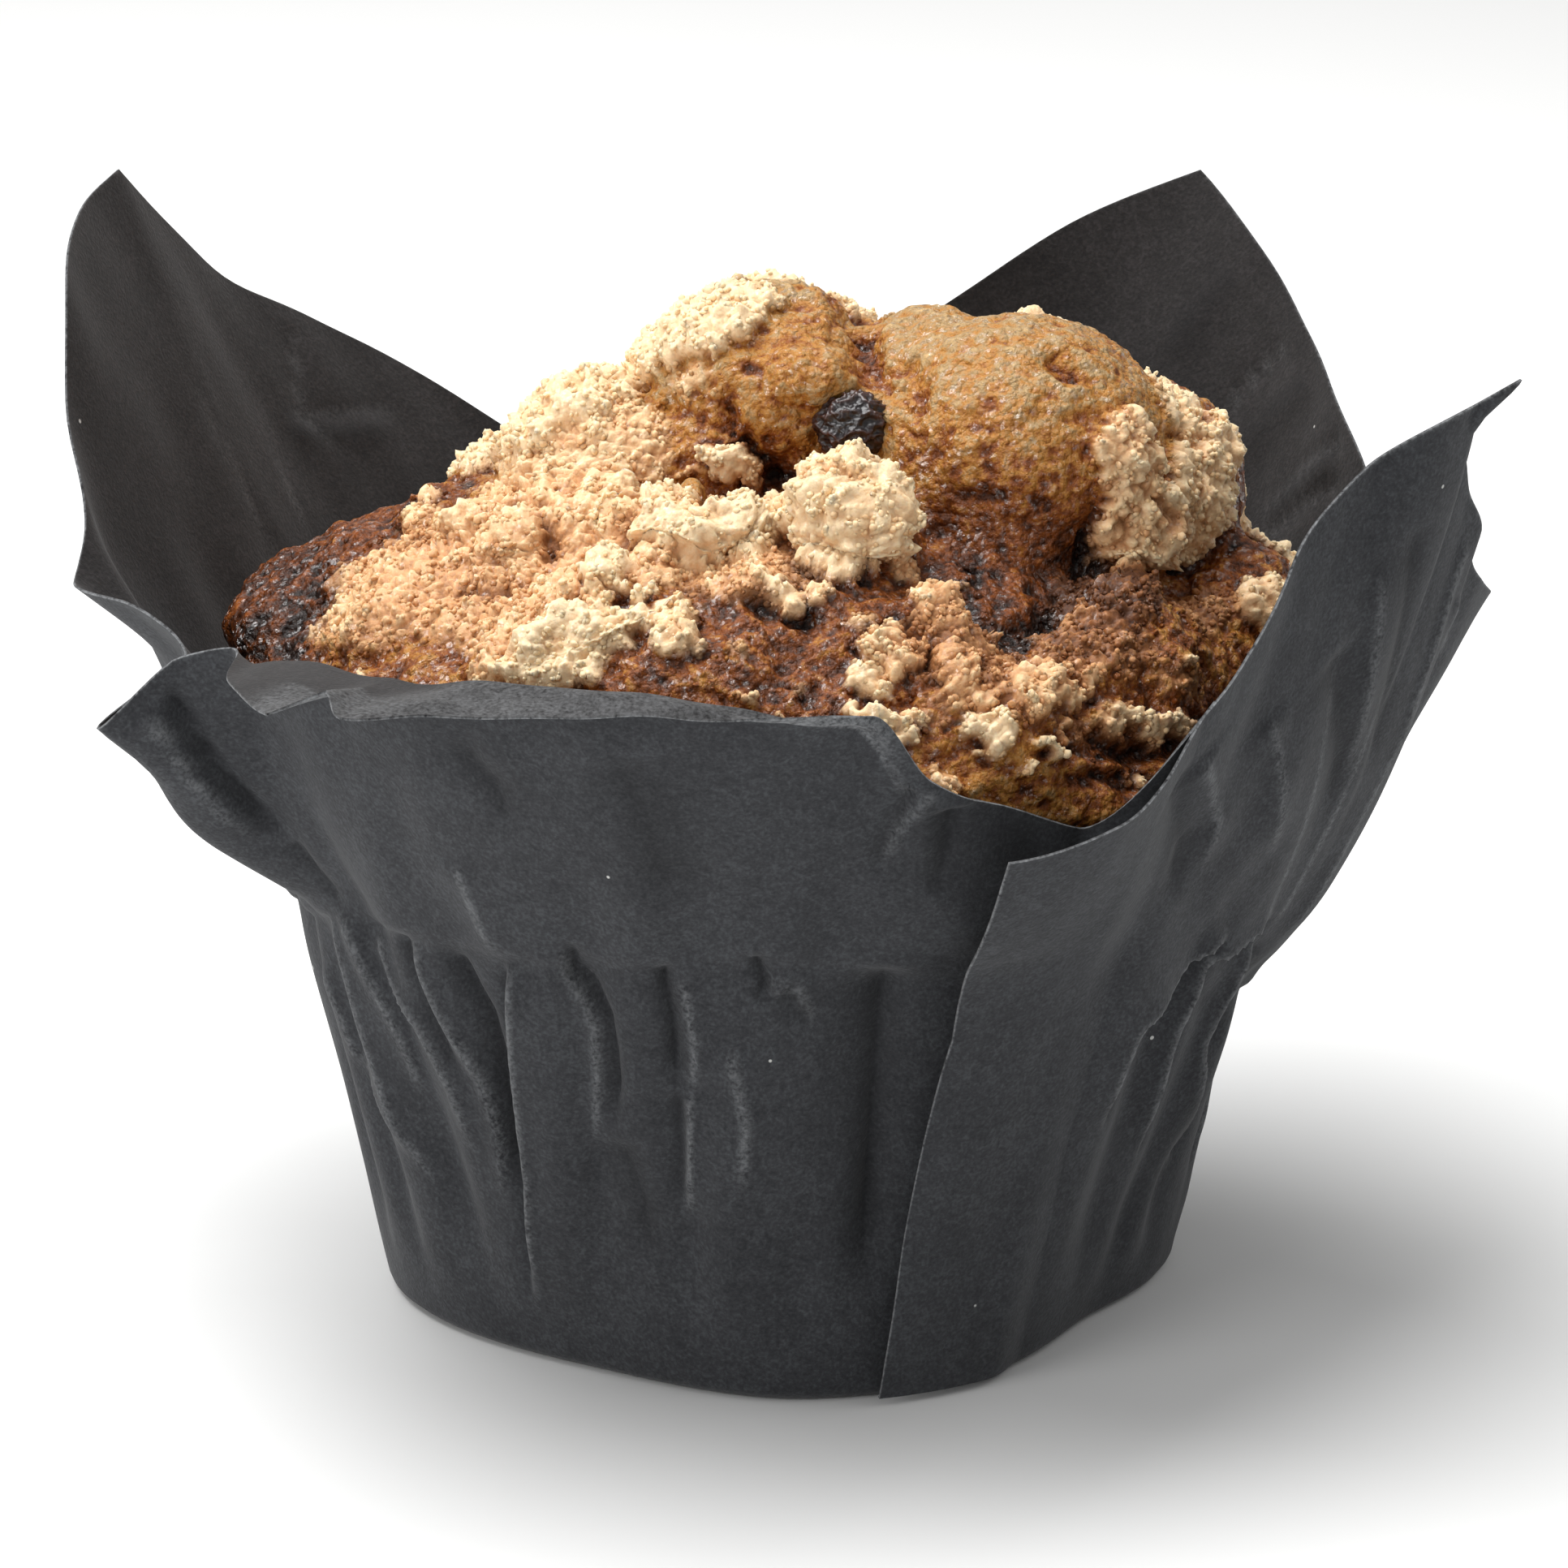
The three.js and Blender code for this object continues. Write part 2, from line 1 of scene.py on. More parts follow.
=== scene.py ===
# %% [markdown]
# A muffin with crumble on top, in a dark tulip case.
#
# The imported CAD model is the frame: a folded paper case, the baked muffin and one raisin. It gives sizes and
# places. This lesson replaces its three solids, which are faceted, by thin creased paper, a crust with its
# pores, crumble made of grains, and a wrinkled raisin. All lengths below are in millimetres, and one function
# turns them into Blender's metres when a mesh is made.

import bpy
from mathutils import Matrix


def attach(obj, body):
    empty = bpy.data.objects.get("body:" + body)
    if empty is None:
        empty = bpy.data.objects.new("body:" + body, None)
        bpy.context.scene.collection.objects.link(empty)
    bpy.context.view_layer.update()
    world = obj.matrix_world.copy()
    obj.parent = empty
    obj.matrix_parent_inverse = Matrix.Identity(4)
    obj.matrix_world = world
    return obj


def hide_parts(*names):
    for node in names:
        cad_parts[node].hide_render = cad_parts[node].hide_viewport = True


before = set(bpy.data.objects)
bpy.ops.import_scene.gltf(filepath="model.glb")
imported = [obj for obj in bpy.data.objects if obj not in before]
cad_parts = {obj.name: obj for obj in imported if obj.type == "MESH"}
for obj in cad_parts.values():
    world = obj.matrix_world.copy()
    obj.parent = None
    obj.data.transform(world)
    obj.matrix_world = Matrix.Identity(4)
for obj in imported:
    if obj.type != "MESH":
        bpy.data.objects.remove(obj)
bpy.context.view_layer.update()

# %% [markdown]
# Everything is modelled with arrays of points, because paper folds and crumbs follow rules that are easy to
# write for all points at once. Blender's own tools join, remesh and scatter.

# %% Tools and units
import math
import random

import bmesh
import bpy
import numpy as np
from mathutils import Vector, noise
from mathutils.bvhtree import BVHTree
from mathutils.kdtree import KDTree

MM = 0.001


def smooth_step(x, low, high):
    s = np.clip((x - low) / (high - low), 0, 1)
    return s * s * (3 - 2 * s)


def placed(name, data):
    """A new object in the scene."""
    made = bpy.data.objects.new(name, data)
    bpy.context.scene.collection.objects.link(made)
    return made


def mesh_object(name, points, faces):
    """A smooth-shaded object from points in millimetres and faces."""
    mesh = bpy.data.meshes.new(name)
    mesh.from_pydata((np.asarray(points) * MM).tolist(), [], np.asarray(faces).tolist())
    mesh.shade_smooth()
    return placed(name, mesh)


def arrays_of(obj):
    """An object's points in millimetres, its point normals and its edges."""
    mesh = obj.data
    points = np.empty(len(mesh.vertices) * 3, np.float32)
    mesh.vertices.foreach_get("co", points)
    normals = np.empty(len(mesh.vertices) * 3, np.float32)
    mesh.vertex_normals.foreach_get("vector", normals)
    edges = np.empty(len(mesh.edges) * 2, np.int32)
    mesh.edges.foreach_get("vertices", edges)
    points, normals = points.reshape(-1, 3).astype(float), normals.reshape(-1, 3).astype(float)
    return points / MM, normals, edges.reshape(-1, 2)


def triangle_count(obj):
    return sum(len(face.vertices) - 2 for face in obj.data.polygons)


def move_points(obj, points):
    obj.data.vertices.foreach_set("co", (points * MM).astype(np.float32).ravel())
    obj.data.update()


def point_attribute(obj, name, values):
    made = obj.data.attributes.new(name, "FLOAT", "POINT")
    made.data.foreach_set("value", np.asarray(values, np.float32))


def baked(obj):
    """Applies an object's modifiers, and keeps the object."""
    graph = bpy.context.evaluated_depsgraph_get()
    graph.update()
    mesh = bpy.data.meshes.new_from_object(obj.evaluated_get(graph))
    obj.modifiers.clear()
    obj.data = mesh
    return obj


def remeshed(obj, voxel):
    """One skin round all that the object holds, in squares of the size of a voxel."""
    modifier = obj.modifiers.new("Voxels", "REMESH")
    modifier.mode = "VOXEL"
    modifier.voxel_size = voxel * MM
    modifier.use_smooth_shade = True
    return baked(obj)


def relaxed(points, edges, rounds):
    """Moves every point towards the middle of its neighbours."""
    count = len(points)
    share = np.bincount(edges.ravel(), minlength=count)[:, None]
    for _ in range(rounds):
        near = np.stack(
            [
                np.bincount(edges[:, 0], points[edges[:, 1], axis], count)
                + np.bincount(edges[:, 1], points[edges[:, 0], axis], count)
                for axis in range(3)
            ],
            axis=1,
        )
        points = 0.5 * points + 0.5 * near / share
    return points


def unit_ball(detail):
    """Points and triangles of a ball of radius 1."""
    ball = bmesh.new()
    bmesh.ops.create_icosphere(ball, subdivisions=detail, radius=1)
    ball.verts.ensure_lookup_table()
    points = np.array([v.co[:] for v in ball.verts])
    faces = np.array([[v.index for v in f.verts] for f in ball.faces])
    ball.free()
    return points, faces


def joined(parts):
    """Several pairs of points and faces as one."""
    points, faces, count = [], [], 0
    for part_points, part_faces in parts:
        points.append(part_points)
        faces.append(part_faces + count)
        count += len(part_points)
    return np.concatenate(points), np.concatenate(faces)


# %% [markdown]
# The camera stands where the photographer's did: in front of the case, 17.5 degrees above the horizon, far
# enough away for a long lens. Its numbers come first, because some crumbs and folds are placed by a pixel of
# the picture, through a ray from the camera onto the surface that carries them.

# %% Camera
PICTURE = 1932  # pixels along each side of the photograph
ELEVATION = math.radians(17.5)
DISTANCE = 700
TARGET = np.array([0.9, 0, 40.4])
PIXELS_PER_MM = 15.6  # at the target
SENSOR = 36
FOCAL = PIXELS_PER_MM * DISTANCE  # in pixels

towards_camera = np.array([0, -math.cos(ELEVATION), math.sin(ELEVATION)])
upwards = np.array([0, math.sin(ELEVATION), math.cos(ELEVATION)])
rightwards = np.array([1.0, 0, 0])
eye = TARGET + DISTANCE * towards_camera

lens = bpy.data.cameras.new("camera")
lens.sensor_width = SENSOR
lens.lens = FOCAL / PICTURE * SENSOR
lens.clip_start, lens.clip_end = 0.01, 20
camera = placed("camera", lens)
camera.location = Vector(eye * MM)
camera.rotation_euler = Vector(-towards_camera).to_track_quat("-Z", "Y").to_euler()
bpy.context.scene.camera = camera
print("lens in mm:", round(lens.lens, 1))


def pixel_ray(x, y):
    """Direction from the camera through a pixel."""
    ray = rightwards * (x - PICTURE / 2) / FOCAL + upwards * (PICTURE / 2 - y) / FOCAL - towards_camera
    return ray / np.linalg.norm(ray)


# %% [markdown]
# A product photograph like this one has a big soft light overhead, a little to the left and behind, a weaker
# one at each side, and white all round. The floor is a plain pale sheet.

# %% Floor and lights
SKY_STRENGTH = 0.36
FLOOR_HALF = 3000


def area_light(name, place, size, watts):
    data = bpy.data.lights.new(name, "AREA")
    data.shape = "SQUARE"
    data.size = size * MM
    data.energy = watts
    made = placed(name, data)
    made.location = Vector(place) * MM
    aim = Vector(TARGET * MM) - made.location
    made.rotation_euler = aim.to_track_quat("-Z", "Y").to_euler()


area_light("top_light", (-150, 90, 600), 520, 5.6)
area_light("left_light", (-400, -420, 200), 300, 1.15)
area_light("right_light", (500, -120, 460), 300, 0.28)

world = bpy.data.worlds.new("studio")
world.use_nodes = True
world.node_tree.nodes["Background"].inputs["Color"].default_value = (1, 1, 1, 1)
world.node_tree.nodes["Background"].inputs["Strength"].default_value = SKY_STRENGTH
bpy.context.scene.world = world
bpy.context.scene.view_settings.view_transform = "Standard"

floor_corners = [(x * FLOOR_HALF, y * FLOOR_HALF, 0) for x, y in ((-1, -1), (1, -1), (1, 1), (-1, 1))]
floor = mesh_object("floor", floor_corners, [(0, 1, 2, 3)])
print("lights:", len(bpy.data.lights))

# %% [markdown]
# Materials are built from nodes. One function adds a node, sets its sockets to a value or links them, and is
# all that the materials below need. Colours are written as sRGB hex, as a paint chart gives them.


# %% Materials: shared helpers
def linear(code):
    """A hex colour as linear red, green, blue and alpha."""
    parts = [int(code[i : i + 2], 16) / 255 for i in (1, 3, 5)]
    return (*[c / 12.92 if c <= 0.04045 else ((c + 0.055) / 1.055) ** 2.4 for c in parts], 1.0)


def per(size):
    """Scale of a texture whose features are this many millimetres across."""
    return 1 / (size * MM)


def node(tree, kind, inputs=None, stops=None, **settings):
    """Adds a node with its settings, and sets or links its inputs. A colour ramp also gets its stops."""
    made = tree.nodes.new(kind)
    for key, value in settings.items():
        setattr(made, key, value)
    for key, value in (inputs or {}).items():
        if isinstance(value, bpy.types.NodeSocket):
            tree.links.new(value, made.inputs[key])
        else:
            made.inputs[key].default_value = value
    for i, (place, code) in enumerate(stops or []):
        element = made.color_ramp.elements[i] if i < 2 else made.color_ramp.elements.new(place)
        element.position, element.color = place, linear(code)
    return made


def new_material(name):
    """An empty material, its tree, its shader and the place on the object."""
    made = bpy.data.materials.new(name)
    made.use_nodes = True
    tree = made.node_tree
    shader = tree.nodes["Principled BSDF"]
    place = node(tree, "ShaderNodeTexCoord").outputs["Object"]
    return made, tree, shader, place


white_card, tree, shader, place = new_material("matt_white_card")
shader.inputs["Base Color"].default_value = linear("#f4f4f3")
shader.inputs["Roughness"].default_value = 0.9
floor.data.materials.append(white_card)

# %% [markdown]
# The case is one square of dark baking paper, pressed into a cup by a stamp. Its form is a loft through
# four rings: the foot, the crease where the cup ends, the bend of each petal and the cut edge. The rings are
# those of the CAD part. A simulated cloth could give the creases too, but then the petals wouldn't stand
# where the real ones do, so the folds are added afterwards.

# %% Rings of the paper case
FOOT_RADIUS = 30
CREASE_RADIUS = 38
CAD_THICKNESS = 0.5
PAPER_THICKNESS = 0.2  # drawn a little thicker than real, so that its edge shows

# Azimuth and radius.
FOOT = [
    (290, FOOT_RADIUS + 1.2),
    (302, FOOT_RADIUS + 0.8),
    (331, FOOT_RADIUS - 2),
    (352, FOOT_RADIUS + 0.6),
    (365, FOOT_RADIUS + 2),
    (385, FOOT_RADIUS + 0.5),
    (420, FOOT_RADIUS - 1.8),
    (455, FOOT_RADIUS + 0.8),
    (500, FOOT_RADIUS - 1.8),
    (548, FOOT_RADIUS + 0.6),
    (598, FOOT_RADIUS - 2.4),
    (641, FOOT_RADIUS + 0.7),
    (669, FOOT_RADIUS + 0.7),
]

# Azimuth, radius and height.
CUT_EDGE = [
    (290, 49.7, 49.4),
    (300, 50.4, 51.3),
    (308, 48.9, 55.3),
    (318, 48.1, 61.1),
    (325, 47.6, 66.7),
    (335, 50, 72.2),
    (342, 54.7, 75.1),
    (345.5, 55.7, 75.4),  # right petal's corner, which ends in a thin curl
    (347, 54.1, 71.9),
    (348.3, 54.3, 69.9),
    (350, 54.5, 67.3),
    (353.5, 55.5, 63.3),
    (356, 54.6, 60.0),
    (359, 55.5, 57.5),
    (368, 57.2, 53.6),
    (374, 55, 51),
    (379, 50.8, 54),
    (384, 52, 60.5),
    (391, 54, 63.4),
    (400, 57.7, 67.3),
    (408, 60.8, 72.3),
    (416, 63.5, 77.6),  # back petal's tip
    (424, 59, 73.4),
    (432, 53, 67.9),
    (440, 50.5, 62.8),
    (450, 48, 56.5),
    (462, 46.8, 51.5),
    (472, 50, 55),
    (482, 56.5, 61.6),
    (490, 59, 66.4),
    (500, 60.2, 72.3),
    (510, 61, 82.9),  # left petal's tip
    (517, 60, 81.4),
    (525, 58.1, 77.9),
    (532, 56, 69.2),
    (540, 53.8, 61.4),
    (545, 54.6, 58.3),
    (551, 51, 58.2),
    (560, 47.9, 56.1),
    (564.5, 56.4, 52.2),
    (568, 51, 58),
    (572, 47.9, 59.3),
    (582, 54.5, 60.2),
    (592, 60, 60.6),  # front petal's tip, folded down outwards
    (594.5, 56.3, 61.6),
    (597.5, 58.6, 60.6),
    (603, 55.5, 61),
    (613, 52.2, 61.3),
    (625, 49.8, 61),
    (639, 47.2, 60.4),
    (645, 45.2, 54.5),
    (653, 43.4, 51.2),
    (669, 42, 47.3),
]

# Azimuth, radius, height, and how softly the petal turns there.
BEND = [
    (290, 45, 42, 0.5),
    (318, 45, 46, 0.8),
    (340, 47.5, 46, 0.9),
    (355, 49.2, 38.5, 0.9),
    (374, 45.5, 38, 0.6),
    (392, 46.5, 44, 0.8),
    (416, 51.5, 54, 0.9),
    (440, 46.5, 47, 0.8),
    (462, 42.6, 43, 0.6),
    (485, 47.5, 50, 0.8),
    (510, 50.5, 58, 0.9),
    (535, 48.5, 49.5, 0.8),
    (555, 44.5, 46, 0.5),
    (561.5, 50.4, 43.8, 0.4),
    (567.5, 43.8, 47, 0.3),
    (573, 46.8, 57, 0.12),
    (590, 47.4, 61, 0.1),
    (613, 48, 62.1, 0.1),
    (637, 46.4, 59.4, 0.12),
    (648, 42.2, 46, 0.5),
    (669, 40.2, 42, 0.6),
]

# Azimuth, radius and height.
CREASE = [
    (290, CREASE_RADIUS + 0.6, 35.5),
    (325, CREASE_RADIUS, 31.5),
    (345, CREASE_RADIUS - 0.6, 25.5),
    (365, CREASE_RADIUS - 0.8, 25),
    (395, CREASE_RADIUS, 30),
    (450, CREASE_RADIUS, 35),
    (510, CREASE_RADIUS, 35),
    (550, CREASE_RADIUS, 32.8),
    (568, CREASE_RADIUS, 35.6),
    (598, CREASE_RADIUS, 36.6),
    (630, CREASE_RADIUS, 38.2),
    (669, CREASE_RADIUS - 1.4, 35.5),
]

TIPS = (345.5, 416, 510, 592, 594.5)  # azimuths where the cut edge has a sharp corner
print("cut edge in mm: lowest", min(p[2] for p in CUT_EDGE), "highest", max(p[2] for p in CUT_EDGE))

# Azimuth at the foot, azimuth at the crease, depth in mm and half width in degrees of the wall's grooves.
GROOVES = [
    (300, 306, 0.7, 5),
    (322, 325, 1.1, 4),
    (334, 338, 1.2, 4),
    (345, 350, 0.9, 3.5),
    (357, 361, 0.5, 3.5),
    (373, 373, 0.6, 4),
    (392, 392, 1.0, 5),
    (411, 410, 0.9, 5),
    (432, 430, 1.0, 5),
    (452, 452, 1.2, 4),
    (465, 465, 1.3, 4),
    (486, 486, 0.9, 5),
    (508, 506, 1.0, 5),
    (526, 524, 1.1, 4),
    (541, 539, 1.1, 4),
    (556, 552, 0.8, 3),
    (568, 560, 0.9, 3),
    (583, 574, 1.4, 4),
    (604, 608, 1.0, 4),
    (618, 621, 0.9, 4),
    (636, 638, 0.8, 5),
]


def ring_at(ring, azimuth, part):
    """Reads a ring at azimuths, by a cubic that doesn't overshoot its points."""
    table = np.array(ring, float)
    x, y = table[:, 0], table[:, part]
    slope = np.diff(y) / np.diff(x)
    before, after = slope[:-1], slope[1:]
    tangent = np.zeros(len(x))
    rising = before * after > 0
    tangent[1:-1][rising] = 2 * before[rising] * after[rising] / (before + after)[rising]
    leaving, arriving = tangent.copy(), tangent.copy()
    for k in np.flatnonzero(np.isin(x, TIPS)):
        if ring is CUT_EDGE:
            arriving[k], leaving[k] = slope[k - 1], slope[k]
    i = np.clip(np.searchsorted(x, azimuth, side="left") - 1, 0, len(x) - 2)
    span = x[i + 1] - x[i]
    s = np.clip((azimuth - x[i]) / span, 0, 1)
    h = s * s * (3 - 2 * s)
    turn = s * (1 - s) ** 2 * leaving[i] - s * s * (1 - s) * arriving[i + 1]
    return y[i] * (1 - h) + y[i + 1] * h + span * turn


# %% [markdown]
# A place on the paper is an azimuth and a rise. The rise runs from -1 in the middle of the floor, by 0 at the
# foot, 1 at the crease and 2 at the bend, to 3 at the cut edge. Between the rings the paper runs straight,
# and each ring rounds the corner by its own softness.

# %% Profile of the paper case
FOOT_ROUND = 0.03
CREASE_ROUND = 0.16
FLAP_ROUND = 0.34  # how much softer the crease is under the flap
FLAP_ROUND_ENDS = (318, 336)  # azimuths over which it sharpens again
CURL_AT, CURL_WIDTH = 345.5, 1.1  # the curled tip of the right petal, in degrees
CURL_OUT, CURL_UP = 3.1, 2.0
HOLLOW_DEPTH = 1.8  # how far the left petal sags inwards above its bend
HOLLOW_FADES = (536, 543, 556, 561)  # azimuths where the sag begins, is full, weakens and ends
FLAP_FOLD = 290  # azimuth of the fold where the right petal lies over the front one
FLAP_END = 313
SHEET_START = 309
SHEET_END = SHEET_START + 360
CLOSING_WIDTH = 6
FLAP_LIFT = 1.25
LEAN = 5.5  # degrees that the fold leans at the foot
LEAN_REACH = 22


def ramp(x, width):
    rounded = (x + width) ** 2 / (4 * width)
    return np.where(x <= -width, 0, np.where(x >= width, x, rounded))


def groove_depth(azimuth, rise):
    fade = smooth_step(rise, 0.04, 0.4) * (1 - smooth_step(rise, 1.05, 1.6))
    deep = np.zeros_like(azimuth)
    for low, high, depth, half in GROOVES:
        middle = low + (high - low) * np.clip(rise, 0, 1.2)
        deep += depth * np.exp(-(((azimuth - middle) / half) ** 2))
    return deep * fade


def paper_profile(azimuth, rise):
    """Radius and height at azimuths and rises of equal shape."""
    softness = ring_at(BEND, azimuth, 3)
    crease_round = CREASE_ROUND + FLAP_ROUND * (1 - smooth_step(azimuth, *FLAP_ROUND_ENDS))
    made = []
    for part, centre in ((1, 0), (2, CAD_THICKNESS / 2)):
        foot = ring_at(FOOT, azimuth, 1) if part == 1 else np.full_like(azimuth, CAD_THICKNESS / 2)
        crease = ring_at(CREASE, azimuth, part)
        bend = ring_at(BEND, azimuth, part)
        edge = ring_at(CUT_EDGE, azimuth, part)
        made.append(
            foot
            + (foot - centre) * rise
            + (crease - foot - (foot - centre)) * ramp(rise, FOOT_ROUND)
            + (bend - crease - (crease - foot)) * ramp(rise - 1, crease_round)
            + (edge - bend - (bend - crease)) * ramp(rise - 2, softness)
        )
    made[0] -= groove_depth(azimuth, rise)
    return made


def sheet_point(azimuth, rise):
    """Points of the closed sheet, which comes back to its start in its last degrees."""
    radius, height = paper_profile(azimuth, rise)
    start_radius, start_height = paper_profile(azimuth - 360, rise)
    closing = smooth_step(azimuth, SHEET_END - CLOSING_WIDTH, SHEET_END)
    radius = radius + (start_radius - radius) * closing
    height = height + (start_height - height) * closing
    curl = smooth_step(rise, 2.93, 3) * np.clip(1 - np.abs(azimuth - CURL_AT) / CURL_WIDTH, 0, 1) ** 1.5
    radius = radius + CURL_OUT * curl
    height = height + CURL_UP * curl
    hollow = smooth_step(azimuth, *HOLLOW_FADES[:2]) * (1 - smooth_step(azimuth, *HOLLOW_FADES[2:]))
    radius = radius - HOLLOW_DEPTH * hollow * np.sin(np.pi * np.clip(rise - 2, 0, 1))
    return place_on_paper(azimuth, rise, radius, height)


def flap_point(azimuth, rise):
    radius, height = paper_profile(azimuth, rise)
    radius = radius + FLAP_LIFT * (1 - smooth_step(azimuth, SHEET_START - 4, FLAP_END - 1))
    return place_on_paper(azimuth, rise, radius, height)


def place_on_paper(azimuth, rise, radius, height):
    away = (azimuth - FLAP_FOLD + 180) % 360 - 180
    lean = -LEAN * np.exp(-((away / LEAN_REACH) ** 2)) * (1 - np.clip(rise, 0, 1))
    a = np.radians(azimuth + lean)
    return np.stack([radius * np.cos(a), radius * np.sin(a), height], axis=-1)


# %% [markdown]
# The grid is finer where the camera sees the outside of the cup, and has its rows close together at the foot,
# the crease and the bend, where the paper turns sharply.

# %% Grid of the paper case
FINE_STEP = 0.42  # degrees
COARSE_STEP = 1.1
BACK_START, BACK_END = 360, 535  # azimuths whose outside the camera doesn't see


def azimuths_between(start, end):
    stops = sorted({start, end, *[a for a in (BACK_START, BACK_END, *TIPS) if start < a < end]})
    made = []
    for low, high in zip(stops[:-1], stops[1:]):
        step = COARSE_STEP if low >= BACK_START and high <= BACK_END else FINE_STEP
        made.append(np.linspace(low, high, round((high - low) / step), endpoint=False))
    return np.concatenate(made)


def rows_from(lowest):
    floor_rows = [r for r in (-0.85, -0.55, -0.25, -0.1, -0.04, -0.015) if r >= lowest]
    wall = np.linspace(0.012, 0.9, 54)
    crease = np.linspace(0.92, 1.12, 11)
    below_bend = np.linspace(1.15, 1.86, 20)
    bend = np.linspace(1.89, 2.13, 11)
    petal = np.linspace(2.16, 2.98, 30)
    return np.concatenate([floor_rows, wall, crease, below_bend, bend, petal, [2.992, 3]])


sheet_azimuths = azimuths_between(SHEET_START, SHEET_END)
sheet_rises = rows_from(-1)
sheet_grid = np.meshgrid(sheet_azimuths, sheet_rises)
flap_azimuths = np.array([FLAP_FOLD, FLAP_FOLD + 0.2, *azimuths_between(FLAP_FOLD + 0.5, FLAP_END), FLAP_END])
flap_rises = rows_from(0)
flap_grid = np.meshgrid(flap_azimuths, flap_rises)
sheet_base = sheet_point(*sheet_grid)
flap_base = flap_point(*flap_grid)
print("sheet grid:", sheet_base.shape[:2], "flap grid:", flap_base.shape[:2])


def grid_normals(points, ring):
    """Outward normals of a grid of points."""
    if ring:
        wide = np.concatenate([points[:, -1:], points, points[:, :1]], axis=1)
        along = wide[:, 2:] - wide[:, :-2]
    else:
        along = np.gradient(points, axis=1)
    up = np.gradient(points, axis=0)
    cross = np.cross(along, up)
    return cross / np.maximum(np.linalg.norm(cross, axis=-1, keepdims=True), 1e-9)


# %% [markdown]
# Folds are drawn as lines on the paper. A line seen in the photograph is written by its pixels, and each
# pixel is laid on the nearest place of the paper that the camera sees. At a pleat the paper on one side of
# the line stands proud and drops sharply on the other. A ridge is raised on both sides, and a groove sunk.

